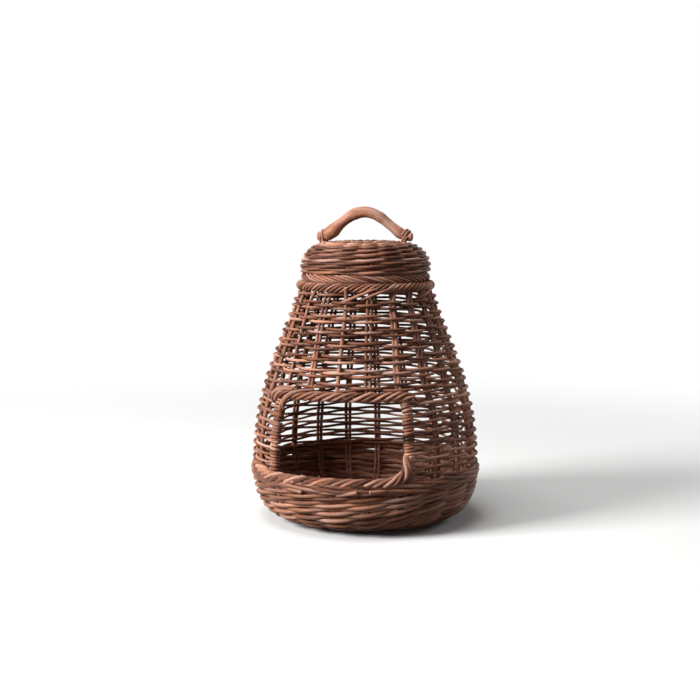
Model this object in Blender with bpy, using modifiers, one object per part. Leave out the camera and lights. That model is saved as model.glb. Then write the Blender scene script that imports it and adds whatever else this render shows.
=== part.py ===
"""Beehive-shaped wicker onion basket: paired stakes, a woven bowl and an open woven side, a front
window between rope borders, a rolled mouth and a domed lid with a bent-branch handle.

Run it with: blender --background --python part.py
Metres, +Z up. The basket stands on z = 0 with its axis on Z, and its window faces -Y.
"""

import math

import bpy
import numpy as np

MM = 0.001

# Body, measured to the centre line of the stakes
FOOT_RADIUS = 92 * MM
STAKE_TUCK = 10 * MM
BELLY_RADIUS = 149 * MM
BELLY_HEIGHT = 80 * MM
BOWL_FLARE = 43 * MM
BOWL_RISE = 52 * MM
BOWL_START_HEIGHT = 12.6 * MM
SIDE_DROP = 108 * MM
NECK_SPREAD = 14.5 * MM
NECK_RISE = 58 * MM
MOUTH_RADIUS = 88 * MM
MOUTH_HEIGHT = 312 * MM

# Rods
STAKE_RADIUS = 2.0 * MM
FOOT_ROD_RADIUS = 4.5 * MM
BASE_STICK_RADIUS = 2.5 * MM
LID_STICK_RADIUS = 2.2 * MM
COLLAR_ROD_RADIUS = 3.0 * MM
BASE_WEAVER_RADIUS = 2.4 * MM
BOWL_WEAVER_RADIUS = 3.1 * MM
SIDE_WEAVER_RADIUS = 1.7 * MM
LID_WEAVER_RADIUS = 2.8 * MM
LASHING_RADIUS = 1.5 * MM
WINDOW_STRAND_RADIUS = 3.4 * MM
MOUTH_STRAND_RADIUS = 2.9 * MM
LID_STRAND_RADIUS = 2.8 * MM

# Gaps between pieces, and how far the lid plays in the mouth
CLEARANCE = 0.3 * MM
JOINT_GAP = 0.8 * MM
LID_PLAY = 2.0 * MM

# Pitches of paired stakes and of rows
PAIR_PITCH = 5.0 * MM
BASE_ROW_PITCH = 7.0 * MM
BOWL_ROW_PITCH = 7.2 * MM
SIDE_ROW_PITCH = 10.6 * MM
LID_ROW_PITCH = 6.5 * MM

# Counts of what repeats
STAKES = 21
WINDOW_REACH = 2
BASE_STICKS = 4
LID_STICKS = 4
BOWL_BANDS = 3
SIDE_BANDS = 2
UPPER_BANDS = 3
STAKES_PASSED = 2
STICKS_PASSED = 2
WINDOW_TWISTS = 5
BORDER_TWISTS = 9
LASHING_TURNS = 2

# Base
BASE_CROWN = 5.0 * MM
BASE_EYE_RADIUS = 22 * MM

# Window, by the undersides of its two borders
SILL_HEIGHT = 68.5 * MM
HEAD_HEIGHT = 176 * MM

# Lid, measured to the centre line of its sticks
LID_BORDER_RADIUS = 81.5 * MM
LID_SHOULDER_RADIUS = 82.5 * MM
LID_SHOULDER_RISE = 8.0 * MM
LID_SIDE_CLIMB = 14 * MM
LID_HEIGHT = 35.5 * MM
LID_CROWN = 2.0 * MM
LID_TOP_RADIUS = 50 * MM
LID_TOP_FLARE = 20 * MM
LID_EYE_RADIUS = 21 * MM

# Handle, a bent branch that is thicker at its butt end, and its lashings
HANDLE_HALF_SPAN = 66 * MM
HANDLE_FOOT = 8 * MM
HANDLE_RISE = 31.5 * MM
HANDLE_BELL_SHARE = 0.7
HANDLE_BUTT_RADIUS = 8.4 * MM
HANDLE_MIDDLE_RADIUS = 7.6 * MM
HANDLE_TIP_RADIUS = 6.8 * MM
LASHING_INSET = 13 * MM
LASHING_PITCH = 3.6 * MM

# Facets
BOWL_STEPS = 4
SIDE_STEPS = 5
TWIST_STEPS = 6
LASHING_STEPS = 8
HANDLE_STEPS = 18
RING_SIDES = 6
RING_STEPS = 30
SWING_PASSES = 6

FULL_TURN = 2 * math.pi
FRONT = -FULL_TURN / 4
STAKE_STEP = FULL_TURN / STAKES


def tidy_scene():
    """Empties the scene of objects."""
    for obj in list(bpy.data.objects):
        bpy.data.objects.remove(obj)


def new_collection(name):
    """A collection linked to the scene."""
    collection = bpy.data.collections.new(name)
    bpy.context.scene.collection.children.link(collection)
    return collection


def wood(name, colour, roughness):
    """A stained-wood Principled material."""
    material = bpy.data.materials.new(name)
    material.use_nodes = True
    shader = material.node_tree.nodes["Principled BSDF"]
    shader.inputs["Base Color"].default_value = (*colour, 1)
    shader.inputs["Roughness"].default_value = roughness
    shader.inputs["Metallic"].default_value = 0
    return material


def bezier(points, steps):
    """Points of a cubic curve through its first and last points, pulled to the two between."""
    t = np.linspace(0, 1, steps + 1)[:, None]
    a, b, c, d = (np.array(p) for p in points)
    return (1 - t) ** 3 * a + 3 * (1 - t) ** 2 * t * b + 3 * (1 - t) * t**2 * c + t**3 * d


class Profile:
    """A line of (radius, height) points that is turned round Z, read by its length.

    Its outer side is on the right of the way it runs, so it climbs, or runs in over a top.
    """

    def __init__(self, points):
        self.points = np.array(points, float)
        steps = np.diff(self.points, axis=0)
        run = np.hypot(steps[:, 0], steps[:, 1])
        self.lengths = np.concatenate([[0], np.cumsum(run)])
        self.length = float(self.lengths[-1])
        steps /= run[:, None]
        along = np.vstack([steps[:1], steps[:-1] + steps[1:], steps[-1:]])
        along /= np.hypot(along[:, 0], along[:, 1])[:, None]
        self.outward = np.stack([along[:, 1], -along[:, 0]], axis=1)

    def at(self, length):
        """Radius, height and the outward direction at a length along the line."""
        values = np.hstack([self.points, self.outward])
        return [float(np.interp(length, self.lengths, values[:, i])) for i in range(4)]

    def length_at_height(self, height):
        """The length at which a line that climbs reaches a height."""
        return float(np.interp(height, self.points[:, 1], self.lengths))

    def length_at_radius(self, radius):
        """The length at which a line that runs inwards reaches a radius."""
        return float(np.interp(-radius, -self.points[:, 0], self.lengths))

    def place(self, length, angle, offset=0.0):
        """The point at a length and an angle, moved off the turned surface by offset."""
        radius, height, out_r, out_z = self.at(length)
        radius += out_r * offset
        return (radius * math.cos(angle), radius * math.sin(angle), height + out_z * offset)

    def stations(self, low, high, margin):
        """Lengths from low to high that take in the line's own corners between them."""
        corners = [s for s in self.lengths if low + margin < s < high - margin]
        return [low, *corners, high]


def rod(name, points, radius, material, collection, sides=4, radii=None, twist="Z_UP", tilt=0):
    """A rod: a POLY curve through the points with a round bevel and closed ends.

    With twist Z_UP a corner of its section points up, or is turned from there by tilt.
    """
    data = bpy.data.curves.new(name, "CURVE")
    data.dimensions = "3D"
    data.bevel_depth = radius
    data.bevel_resolution = sides // 2 - 2
    data.use_fill_caps = True
    data.twist_mode = twist
    spline = data.splines.new("POLY")
    spline.points.add(len(points) - 1)
    for i, point in enumerate(points):
        spline.points[i].co = (*point, 1)
        spline.points[i].radius = 1 if radii is None else radii[i] / radius
        spline.points[i].tilt = tilt
    data.materials.append(material)
    obj = bpy.data.objects.new(name, data)
    collection.objects.link(obj)
    return obj


def ring_apothem(radius):
    """Half the height of a faceted ring rod that lies on one of its flats."""
    return radius * math.cos(math.pi / RING_SIDES)


def turned_ring(name, ring_radius, height, rod_radius, material, collection):
    """A rod bent into a level ring, flat underneath: its section turned round Z."""
    data = bpy.data.meshes.new(name)
    turns = [FRONT + FULL_TURN * (0.5 - side) / RING_SIDES for side in range(RING_SIDES)]
    points = [
        (ring_radius + rod_radius * math.cos(turn), 0, height + rod_radius * math.sin(turn))
        for turn in turns
    ]
    edges = [(i, (i + 1) % RING_SIDES) for i in range(RING_SIDES)]
    data.from_pydata(points, edges, [])
    data.materials.append(material)
    ring = bpy.data.objects.new(name, data)
    collection.objects.link(ring)
    turned = ring.modifiers.new("turned", "SCREW")
    turned.axis = "Z"
    turned.steps = RING_STEPS
    turned.render_steps = RING_STEPS
    turned.use_merge_vertices = True
    turned.merge_threshold = CLEARANCE / 10
    return ring


def swing(spacing, pitch, touch, lean):
    """How far a weaver's corner lies off the wall's centre, so that it clears the spoke there.

    The rods of a spoke are pitch apart and the weaver has to pass touch from their centres. It
    runs straight to the other side of the next spoke, and leans in with the wall's curve.
    """
    reach = touch
    for _ in range(SWING_PASSES):
        slope = 2 * reach / spacing + lean
        reach = touch * math.sqrt(1 + slope**2) + slope * pitch / 2
    return reach


def side_at(count, over):
    """+1 where a weaver passes outside a spoke, -1 where it passes inside, over by over."""
    return -1 if count % (over + 1) == over else 1


def woven(profile, row_lengths, first_row, spokes, pitch, touch, over=1, mids=0):
    """Points of one weaver that runs round level rows, with a corner at each spoke.

    It passes outside `over` spokes and then inside one, and steps to its next row between the
    last spoke and the first. mids is how many points bend it round the wall between spokes.
    """
    bend = math.tan(math.pi / spokes / (mids + 1))
    points = []
    for index, length in enumerate(row_lengths):
        row = first_row + index
        radius, _, out_r, _ = profile.at(length)
        reach = swing(FULL_TURN * radius / spokes, pitch, touch, bend * out_r)
        for spoke in range(spokes):
            count = row * spokes + spoke
            if spokes % (over + 1) == 0:
                count += row
            angle = FRONT + FULL_TURN * spoke / spokes
            here = reach * side_at(count, over)
            points.append((length, angle, here))
            for mid in range(mids):
                share = (mid + 1) / (mids + 1)
                after = reach * side_at(count + 1, over)
                if spoke < spokes - 1:
                    between = angle + FULL_TURN / spokes * share
                    points.append((length, between, here * (1 - share) + after * share))
    return [profile.place(*point) for point in points]


def hairpin(profile, angle, low, high):
    """A stake pair: one rod bent double, down one leg to the low end and up the other."""
    legs = []
    for side in (-1, 1):
        leg = []
        for length in profile.stations(low + PAIR_PITCH / 2, high, 2 * STAKE_RADIUS):
            radius = profile.at(length)[0]
            leg.append(profile.place(length, angle + side * PAIR_PITCH / 2 / radius))
        legs.append(leg)
    return legs[0][::-1] + [profile.place(low, angle)] + legs[1]


def strand_reach(radius):
    """How far two strands' centre lines lie from the line that they twist round."""
    return (radius + CLEARANCE / 2) / math.cos(math.pi / TWIST_STEPS)


def rope_radius(strand_radius):
    """Half the thickness of a rope of two strands."""
    return strand_reach(strand_radius) + strand_radius


def twisted_pair(prefix, line, turns, phase, radius, material, collection):
    """Two strands twisted round a level arc. line is (radius, height, start, sweep).

    phase is where the first strand starts, and at it and opposite it, seen along the arc, the
    strands' sections have a corner: 0 is outwards and a quarter turn is up.
    """
    ring_radius, height, start, sweep = line
    reach = strand_reach(radius)
    total = abs(turns) * TWIST_STEPS
    for strand in range(2):
        points = []
        for step in range(total + 1):
            angle = start + sweep * step / total
            turn = phase + FULL_TURN * turns * step / total + math.pi * strand
            out = ring_radius + reach * math.cos(turn)
            points.append(
                (out * math.cos(angle), out * math.sin(angle), height + reach * math.sin(turn))
            )
        name = f"{prefix}_{strand + 1}"
        rod(name, points, radius, material, collection, tilt=FULL_TURN / 4 - phase)


def lid_seat():
    """How the lid's border lies in the mouth's: (direction from the mouth's, height above it).

    The direction is an angle from outwards, through up.
    """
    apart = rope_radius(MOUTH_STRAND_RADIUS) + rope_radius(LID_STRAND_RADIUS) + CLEARANCE
    across = LID_BORDER_RADIUS - MOUTH_RADIUS
    rise = math.sqrt(apart**2 - across**2)
    return math.atan2(rise, across), rise


def crossed_sticks(prefix, profile, stick_radius, count, material, collection):
    """Two bundles of sticks that cross at the centre and fan out into even spokes.

    profile runs from the sticks' ends in to the centre, and one spoke points along +X.
    """
    per_bundle = count // 2
    fan = math.pi / count
    pitch = 2 * stick_radius + CLEARANCE
    for bundle in range(2):
        height = profile.points[-1, 1] + (0.5 - bundle) * pitch
        turn = bundle * math.pi / 2 + (fan / 2 if per_bundle % 2 == 0 else 0)
        for index in range(per_bundle):
            place = index - (per_bundle - 1) / 2
            spread = place * fan
            side = place * pitch
            inner = side / math.tan(spread) if spread else pitch
            half = [(inner, side, height)]
            for length in profile.lengths[::-1]:
                radius, z = profile.at(length)[:2]
                if radius > inner + 2 * pitch:
                    half.append((radius * math.cos(spread), radius * math.sin(spread), z))
            whole = [(-x, y, z) for x, y, z in half[::-1]] + half
            c, s = math.cos(turn), math.sin(turn)
            points = [(c * x - s * y, s * x + c * y, z) for x, y, z in whole]
            rod(
                f"{prefix}_{bundle * per_bundle + index + 1}",
                points,
                stick_radius,
                material,
                collection,
            )


def row_lengths(low, high, pitch):
    """Evenly spaced rows from low to high, as close to the pitch as they come."""
    count = max(1, round((high - low) / pitch) + 1)
    return list(np.linspace(low, high, count))


def bands(rows, count):
    """The rows cut into bands, with the number of the first row of each."""
    cuts = [round(len(rows) * i / count) for i in range(count + 1)]
    return [(cuts[i], rows[cuts[i] : cuts[i + 1]]) for i in range(count)]


def body_profile():
    """The stakes' line: out over the foot ring, up the bowl and the side to the mouth."""
    foot_height = 2 * ring_apothem(FOOT_ROD_RADIUS) + CLEARANCE + STAKE_RADIUS
    bowl = bezier(
        [
            (FOOT_RADIUS, foot_height),
            (FOOT_RADIUS + BOWL_FLARE, foot_height),
            (BELLY_RADIUS, BELLY_HEIGHT - BOWL_RISE),
            (BELLY_RADIUS, BELLY_HEIGHT),
        ],
        BOWL_STEPS,
    )
    side = bezier(
        [
            (BELLY_RADIUS, BELLY_HEIGHT),
            (BELLY_RADIUS, BELLY_HEIGHT + SIDE_DROP),
            (MOUTH_RADIUS + NECK_SPREAD, MOUTH_HEIGHT - NECK_RISE),
            (MOUTH_RADIUS, MOUTH_HEIGHT),
        ],
        SIDE_STEPS,
    )
    return Profile(np.vstack([[(FOOT_RADIUS - STAKE_TUCK, foot_height)], bowl, side[1:]]))


def base_profile(body):
    """The base sticks' line: from over the stakes' tucked ends in to the crowned centre."""
    rim_height = body.points[0, 1] + STAKE_RADIUS + CLEARANCE + BASE_STICK_RADIUS
    reach = FOOT_RADIUS
    shares = np.linspace(1, 0, BOWL_STEPS + 1)
    return Profile([(reach * s, rim_height + BASE_CROWN * (1 - s**2)) for s in shares])


def make_base(body, material, collection):
    """Foot ring, base sticks and the weaver round them."""
    turned_ring(
        "foot_ring",
        FOOT_RADIUS,
        ring_apothem(FOOT_ROD_RADIUS),
        FOOT_ROD_RADIUS,
        material,
        collection,
    )
    base = base_profile(body)
    crossed_sticks(
        "base_stick", base, BASE_STICK_RADIUS, BASE_STICKS, material, collection
    )
    stake_end = FOOT_RADIUS - STAKE_TUCK - STAKE_RADIUS
    outermost = stake_end - CLEARANCE - BASE_WEAVER_RADIUS
    rows = row_lengths(
        base.length_at_radius(outermost),
        base.length_at_radius(BASE_EYE_RADIUS),
        BASE_ROW_PITCH,
    )
    touch = BASE_STICK_RADIUS + BASE_WEAVER_RADIUS + CLEARANCE
    points = woven(base, rows, 0, 2 * BASE_STICKS, 0, touch, over=STICKS_PASSED, mids=1)
    rod("base_weaver", points, BASE_WEAVER_RADIUS, material, collection)


def stake(name, points, material, collection):
    """A stake pair's rod, whose section isn't turned on its way."""
    return rod(name, points, STAKE_RADIUS, material, collection, twist="MINIMUM")


def make_stakes(body, head_top, material, collection):
    """Stake pairs all round, two of them the window's posts and the ones between cut."""
    for k in range(-WINDOW_REACH, STAKES - WINDOW_REACH):
        angle = FRONT + STAKE_STEP * k
        if abs(k) < WINDOW_REACH:
            number = k + WINDOW_REACH
            below = body.length_at_height(SILL_HEIGHT - CLEARANCE)
            above = body.length_at_height(head_top + CLEARANCE + STAKE_RADIUS)
            lower = hairpin(body, angle, 0, below)
            upper = hairpin(body, angle, above, body.length)
            stake(f"lower_stake_pair_{number}", lower, material, collection)
            stake(f"upper_stake_pair_{number}", upper, material, collection)
            continue
        name = f"stake_pair_{k - WINDOW_REACH:02d}"
        if abs(k) == WINDOW_REACH:
            name = "window_post_left" if k < 0 else "window_post_right"
        stake(name, hairpin(body, angle, 0, body.length), material, collection)


def side_row_points(body, rows, first_row):
    """Points of a weaver that runs between the window's posts and turns back round them."""
    first_spoke = WINDOW_REACH
    last_spoke = STAKES - WINDOW_REACH
    touch = STAKE_RADIUS + SIDE_WEAVER_RADIUS + CLEARANCE
    wrap = touch / math.cos(math.pi / 8)
    bend = math.tan(math.pi / STAKES)
    points = []
    for index, length in enumerate(rows):
        row = first_row + index
        spokes = list(range(first_spoke, last_spoke + 1))
        if row % 2:
            spokes.reverse()
        radius, _, out_r, _ = body.at(length)
        reach = swing(FULL_TURN * radius / STAKES, PAIR_PITCH, touch, bend * out_r)
        for spoke in spokes:
            side = -1 if (spoke + row) % 2 else 1
            points.append(body.place(length, FRONT + STAKE_STEP * spoke, side * reach))
        if index == len(rows) - 1:
            continue
        rise = rows[index + 1] - length
        way = 1 if spokes[-1] == last_spoke else -1
        for quarter in (1, 2, 3):
            turn = math.pi * (quarter - 2) / 4
            beyond = PAIR_PITCH / 2 + wrap * math.cos(turn)
            points.append(
                body.place(
                    length + rise * quarter / 4,
                    FRONT + STAKE_STEP * spokes[-1] + way * beyond / radius,
                    wrap * math.sin(turn),
                )
            )
    return points


def make_walls(body, head_top, border_bottom, material, collection):
    """The bowl's weavers, the open side's weavers and those above the window."""
    touch = STAKE_RADIUS + BOWL_WEAVER_RADIUS + CLEARANCE
    top = body.length_at_height(SILL_HEIGHT - CLEARANCE - BOWL_WEAVER_RADIUS)
    rows = row_lengths(body.length_at_height(BOWL_START_HEIGHT), top, BOWL_ROW_PITCH)
    for number, (first, band) in enumerate(bands(rows, BOWL_BANDS)):
        points = woven(body, band, first, STAKES, PAIR_PITCH, touch, over=STAKES_PASSED)
        rod(f"bowl_weaver_{number + 1}", points, BOWL_WEAVER_RADIUS, material, collection)

    row_gap = CLEARANCE + SIDE_WEAVER_RADIUS
    upper_start = body.length_at_height(head_top + row_gap)
    side_start = top + BOWL_WEAVER_RADIUS + row_gap
    rows = row_lengths(side_start, upper_start - SIDE_ROW_PITCH / 2, SIDE_ROW_PITCH)
    for number, (first, band) in enumerate(bands(rows, SIDE_BANDS)):
        points = side_row_points(body, band, first)
        rod(f"side_weaver_{number + 1}", points, SIDE_WEAVER_RADIUS, material, collection)

    touch = STAKE_RADIUS + SIDE_WEAVER_RADIUS + CLEARANCE
    upper_end = body.length_at_height(border_bottom - row_gap)
    rows = row_lengths(upper_start, upper_end, SIDE_ROW_PITCH)
    for number, (first, band) in enumerate(bands(rows, UPPER_BANDS)):
        points = woven(body, band, first, STAKES, PAIR_PITCH, touch)
        rod(f"upper_weaver_{number + 1}", points, SIDE_WEAVER_RADIUS, material, collection)


def make_borders(body, material, collection):
    """Twisted borders: the window's sill and head, and the mouth all round."""
    thick = rope_radius(WINDOW_STRAND_RADIUS)
    beside_post = PAIR_PITCH / 2 + STAKE_RADIUS + 2 * SIDE_WEAVER_RADIUS + 3 * CLEARANCE
    for prefix, bottom in (("sill_strand", SILL_HEIGHT), ("head_strand", HEAD_HEIGHT)):
        height = bottom + thick
        radius = body.at(body.length_at_height(height + thick))[0]
        half = STAKE_STEP * WINDOW_REACH - (beside_post + WINDOW_STRAND_RADIUS) / radius
        line = (radius, height, FRONT - half, 2 * half)
        twisted_pair(
            prefix,
            line,
            WINDOW_TWISTS,
            FULL_TURN / 4,
            WINDOW_STRAND_RADIUS,
            material,
            collection,
        )
    thick = rope_radius(MOUTH_STRAND_RADIUS)
    sweep = FULL_TURN - JOINT_GAP / MOUTH_RADIUS
    line = (MOUTH_RADIUS, MOUTH_HEIGHT + CLEARANCE + thick, FRONT, sweep)
    twisted_pair(
        "mouth_strand",
        line,
        BORDER_TWISTS,
        lid_seat()[0],
        MOUTH_STRAND_RADIUS,
        material,
        collection,
    )


def lid_profile(border_top):
    """The lid sticks' line: from the lid's border up round the shoulder and in to the centre."""
    start = border_top + CLEARANCE
    shoulder = (LID_SHOULDER_RADIUS, start + LID_SHOULDER_RISE)
    top = start + LID_HEIGHT
    rounding = bezier(
        [
            shoulder,
            (LID_SHOULDER_RADIUS, shoulder[1] + LID_SIDE_CLIMB),
            (LID_TOP_RADIUS + LID_TOP_FLARE, top),
            (LID_TOP_RADIUS, top),
        ],
        BOWL_STEPS,
    )
    inner_shares = (0.5, 0)
    crown = [(LID_TOP_RADIUS * s, top + LID_CROWN * (1 - s**2)) for s in inner_shares]
    return Profile(np.vstack([[(LID_BORDER_RADIUS, start)], rounding, crown]))


def handle_points(foot_height):
    """The branch's line along X: a bell between two feet that lie flat on the lid."""
    bell_half_span = HANDLE_HALF_SPAN - HANDLE_FOOT
    points = []
    for step in range(HANDLE_STEPS + 1):
        x = HANDLE_HALF_SPAN * (2 * step / HANDLE_STEPS - 1)
        share = min(abs(x) / bell_half_span, 1)
        bell = ((1 + math.cos(math.pi * share)) / 2) ** HANDLE_BELL_SHARE
        points.append((x, 0, foot_height + HANDLE_RISE * bell))
    return points


def lashing_points(way, handle, handle_radius, lashing_reach, stick_height):
    """A lashing's turns round the handle and the lid stick below it.

    Each turn is a half ellipse over the sloping handle, straight sides, and a half circle
    under the stick.
    """
    across = (handle_radius + LASHING_RADIUS + CLEARANCE) / math.cos(math.pi / LASHING_STEPS)
    under = LID_STICK_RADIUS + LASHING_RADIUS + CLEARANCE
    total = LASHING_TURNS * LASHING_STEPS
    line = np.array(handle)
    slopes = np.gradient(line[:, 2], line[:, 0])
    points = []
    for step in range(total + 1):
        turn = FULL_TURN * (step + 0.5) / LASHING_STEPS
        x = way * (lashing_reach + LASHING_PITCH * (step / LASHING_STEPS - LASHING_TURNS / 2))
        handle_height = float(np.interp(x, line[:, 0], line[:, 2]))
        steepness = math.hypot(1, float(np.interp(x, line[:, 0], slopes)))
        rise = math.cos(turn)
        if rise > 0:
            height = handle_height + across * rise * steepness
        else:
            height = stick_height + under * rise
        points.append((x, across * math.sin(turn), height))
    return points


def make_lid(mouth_height, weave_wood, handle_wood, collection):
    """Lid border, collar, sticks, weavers, handle and lashings.

    mouth_height is the height of the line that the mouth's strands twist round.
    """
    seat, rise = lid_seat()
    thick = rope_radius(LID_STRAND_RADIUS)
    centre_height = mouth_height + rise
    sweep = FULL_TURN - JOINT_GAP / LID_BORDER_RADIUS
    line = (LID_BORDER_RADIUS, centre_height, FRONT, sweep)
    twisted_pair(
        "lid_border_strand",
        line,
        -BORDER_TWISTS,
        seat + FULL_TURN / 2,
        LID_STRAND_RADIUS,
        weave_wood,
        collection,
    )

    mouth_inside = MOUTH_RADIUS - rope_radius(MOUTH_STRAND_RADIUS)
    collar_radius = mouth_inside - LID_PLAY - COLLAR_ROD_RADIUS
    reach = thick + CLEARANCE + COLLAR_ROD_RADIUS
    drop = math.sqrt(reach**2 - (LID_BORDER_RADIUS - collar_radius) ** 2)
    turned_ring(
        "lid_collar",
        collar_radius,
        centre_height - drop,
        COLLAR_ROD_RADIUS,
        weave_wood,
        collection,
    )

    border_top = centre_height + thick * math.sin(seat)
    lid = lid_profile(border_top)
    crossed_sticks("lid_stick", lid, LID_STICK_RADIUS, LID_STICKS, weave_wood, collection)
    lashing_reach = HANDLE_HALF_SPAN - LASHING_INSET
    lashing_half = LASHING_PITCH * LASHING_TURNS / 2 + LASHING_RADIUS + CLEARANCE
    free = lashing_half + LID_WEAVER_RADIUS
    foot_reach = lashing_reach + free
    outer = row_lengths(
        LID_WEAVER_RADIUS,
        lid.length_at_radius(foot_reach),
        LID_ROW_PITCH,
    )
    inner = row_lengths(
        lid.length_at_radius(lashing_reach - free),
        lid.length_at_radius(LID_EYE_RADIUS),
        LID_ROW_PITCH,
    )
    touch = LID_STICK_RADIUS + LID_WEAVER_RADIUS + CLEARANCE
    spokes = 2 * LID_STICKS
    for name, first, rows in (("side", 0, outer), ("crown", len(outer), inner)):
        points = woven(lid, rows, first, spokes, 0, touch, over=STICKS_PASSED, mids=1)
        rod(f"lid_{name}_weaver", points, LID_WEAVER_RADIUS, weave_wood, collection)

    lid_top = lid.at(lid.length_at_radius(foot_reach))[1]
    top_reach = swing(FULL_TURN * foot_reach / 2 / LID_STICKS, 0, touch, 0)
    foot_height = lid_top + top_reach + LID_WEAVER_RADIUS + CLEARANCE + HANDLE_BUTT_RADIUS
    line = handle_points(foot_height)
    middle = HANDLE_STEPS / 2
    radii = []
    for step in range(HANDLE_STEPS + 1):
        share = step / middle - 1
        end = HANDLE_BUTT_RADIUS if share < 0 else HANDLE_TIP_RADIUS
        radii.append(HANDLE_MIDDLE_RADIUS + (end - HANDLE_MIDDLE_RADIUS) * abs(share))
    rod("handle", line, HANDLE_MIDDLE_RADIUS, handle_wood, collection, 8, radii)
    stick_height = lid.at(lid.length_at_radius(lashing_reach))[1]
    for side, way, radius in (
        ("left", -1, HANDLE_BUTT_RADIUS),
        ("right", 1, HANDLE_MIDDLE_RADIUS),
    ):
        points = lashing_points(way, line, radius, lashing_reach, stick_height)
        rod(
            f"handle_lashing_{side}",
            points,
            LASHING_RADIUS,
            weave_wood,
            collection,
            twist="MINIMUM",
        )


def main():
    tidy_scene()
    collection = new_collection("onion_basket")
    stake_wood = wood("stake_rods", (0.21, 0.10, 0.06), 0.55)
    weave_wood = wood("weaver_rods", (0.27, 0.13, 0.08), 0.5)
    border_wood = wood("border_rods", (0.25, 0.12, 0.07), 0.5)
    handle_wood = wood("handle_branch", (0.30, 0.15, 0.09), 0.45)

    body = body_profile()
    head_top = HEAD_HEIGHT + 2 * rope_radius(WINDOW_STRAND_RADIUS)
    mouth_bottom = MOUTH_HEIGHT + CLEARANCE

    make_base(body, weave_wood, collection)
    make_stakes(body, head_top, stake_wood, collection)
    make_walls(body, head_top, mouth_bottom, weave_wood, collection)
    make_borders(body, border_wood, collection)
    mouth_height = mouth_bottom + rope_radius(MOUTH_STRAND_RADIUS)
    make_lid(mouth_height, weave_wood, handle_wood, collection)


main()
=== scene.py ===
import math
from collections import namedtuple

import bpy
import numpy as np
from bpy.props import FloatProperty, FloatVectorProperty, IntProperty, PointerProperty
from bpy.types import Operator, Panel, PropertyGroup
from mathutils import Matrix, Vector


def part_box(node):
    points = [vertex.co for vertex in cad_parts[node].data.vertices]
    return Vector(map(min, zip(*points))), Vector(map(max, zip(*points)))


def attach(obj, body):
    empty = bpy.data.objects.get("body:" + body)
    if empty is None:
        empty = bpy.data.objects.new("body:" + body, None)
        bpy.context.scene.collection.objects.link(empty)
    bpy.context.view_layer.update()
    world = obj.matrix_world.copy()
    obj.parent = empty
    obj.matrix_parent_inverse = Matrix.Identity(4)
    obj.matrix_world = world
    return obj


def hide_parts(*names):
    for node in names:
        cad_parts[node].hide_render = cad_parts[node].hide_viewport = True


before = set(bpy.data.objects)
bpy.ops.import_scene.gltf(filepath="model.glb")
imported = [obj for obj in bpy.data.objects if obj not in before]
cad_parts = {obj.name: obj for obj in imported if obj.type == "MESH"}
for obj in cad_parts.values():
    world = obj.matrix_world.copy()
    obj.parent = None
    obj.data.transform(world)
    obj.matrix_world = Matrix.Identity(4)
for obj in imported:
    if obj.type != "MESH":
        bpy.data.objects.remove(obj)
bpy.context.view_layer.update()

bl_info = {
    "name": "Wicker Onion Basket",
    "version": (1, 0, 0),
    "blender": (4, 5, 0),
    "location": "View3D > Sidebar > Basket",
    "description": "Weaves every rod of a lidded onion basket with a front window",
    "category": "Object",
}

MM = 0.001
FULL_TURN = 2 * math.pi

Rod = namedtuple("Rod", "path outward radius tone closed")
Finish = namedtuple("Finish", "lift streak blotch rough")
Lashing = namedtuple("Lashing", "name side place branch turns lean")

# Each willow's finish: how much lighter it is, the strength of its streaks and of its rubbed
# patches, and its least and most roughness
FINISHES = {
    "weaver willow": Finish(0.0, 0.42, 0.62, (0.40, 0.62)),
    "stake willow": Finish(0.03, 0.42, 0.62, (0.40, 0.62)),
    "border willow": Finish(0.04, 0.42, 0.62, (0.40, 0.62)),
    "branch bark": Finish(0.10, 0.30, 0.75, (0.34, 0.55)),
}
# How finely the bark's noises repeat along the grain and across it
STREAK_SCALES = (60, 950, 950)
PATCH_SCALES = (32, 140, 140)
SPECK_SCALES = (520, 800, 800)
TINT_SCALES = (22, 60, 60)

# Rings of a rod that share one strip of its texture, and the strip's bare margin as a share
STRIP_RINGS = 40
STRIP_MARGIN = 0.06
# A cut end's two rings, as shares of the rod's radius: how far they stand out and their size
END_REACH_SHARES = np.array([0.24, 0.08])
END_SIZE_SHARES = np.array([0.74, 0.95])
TIP_SHARE = 0.28
# A rod's knots: spacing, length, least and most swelling, and how much they darken it
KNOT_SPACING = 60 * MM
KNOT_LENGTH = 1.8 * MM
KNOT_SWELL = (0.04, 0.16)
KNOT_SHADE = 0.5
# Slow waves, each with its longest wave and its most. Those of weaves count in stakes.
THICKNESS_WAVE = (90 * MM, 0.05)
TONE_WAVE = (260 * MM, 0.10)
ROPE_WAVE = (60 * MM, 0.06)
STAKE_WAVE = (150 * MM, 0.7 * MM)
STAKE_DEPTH_WAVE = (120 * MM, 0.35 * MM)
DISC_WAVE = (9.3, 0.35 * MM)
BOWL_WAVE = (6.1, 0.55 * MM)
BOWL_DEPTH_WAVE = (3.7, 0.3 * MM)
SIDE_WAVE = (7.7, 0.8 * MM)
SIDE_DEPTH_WAVE = (5.3, 0.25 * MM)
NECK_WAVE = (8.3, 0.45 * MM)
NECK_DEPTH_WAVE = (5.9, 0.25 * MM)
BRANCH_WAVE = (120 * MM, 1.6 * MM)
BRANCH_RISE_WAVE = (90 * MM, 0.8 * MM)
BRANCH_THICKNESS_WAVE = (50 * MM, 0.03)

# Where two rods of a weaver lap: how long they part in laps, and how far in radii
LAP_FADE = 2.5
LAP_SHIFT = 0.9
# How far a weaver clears a stake
CLEARANCE = 0.2 * MM

# Stakes: a pair's spacing, and how long their tops lean over
STAKE_PITCH = 5.3 * MM
STAKE_RING = 2.6 * MM
LEAN_LENGTH = 22 * MM
# A post's two stakes lie close, one a little behind the other
POST_PITCH = 2.8 * MM
POST_DEPTH = 3.2 * MM
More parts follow.
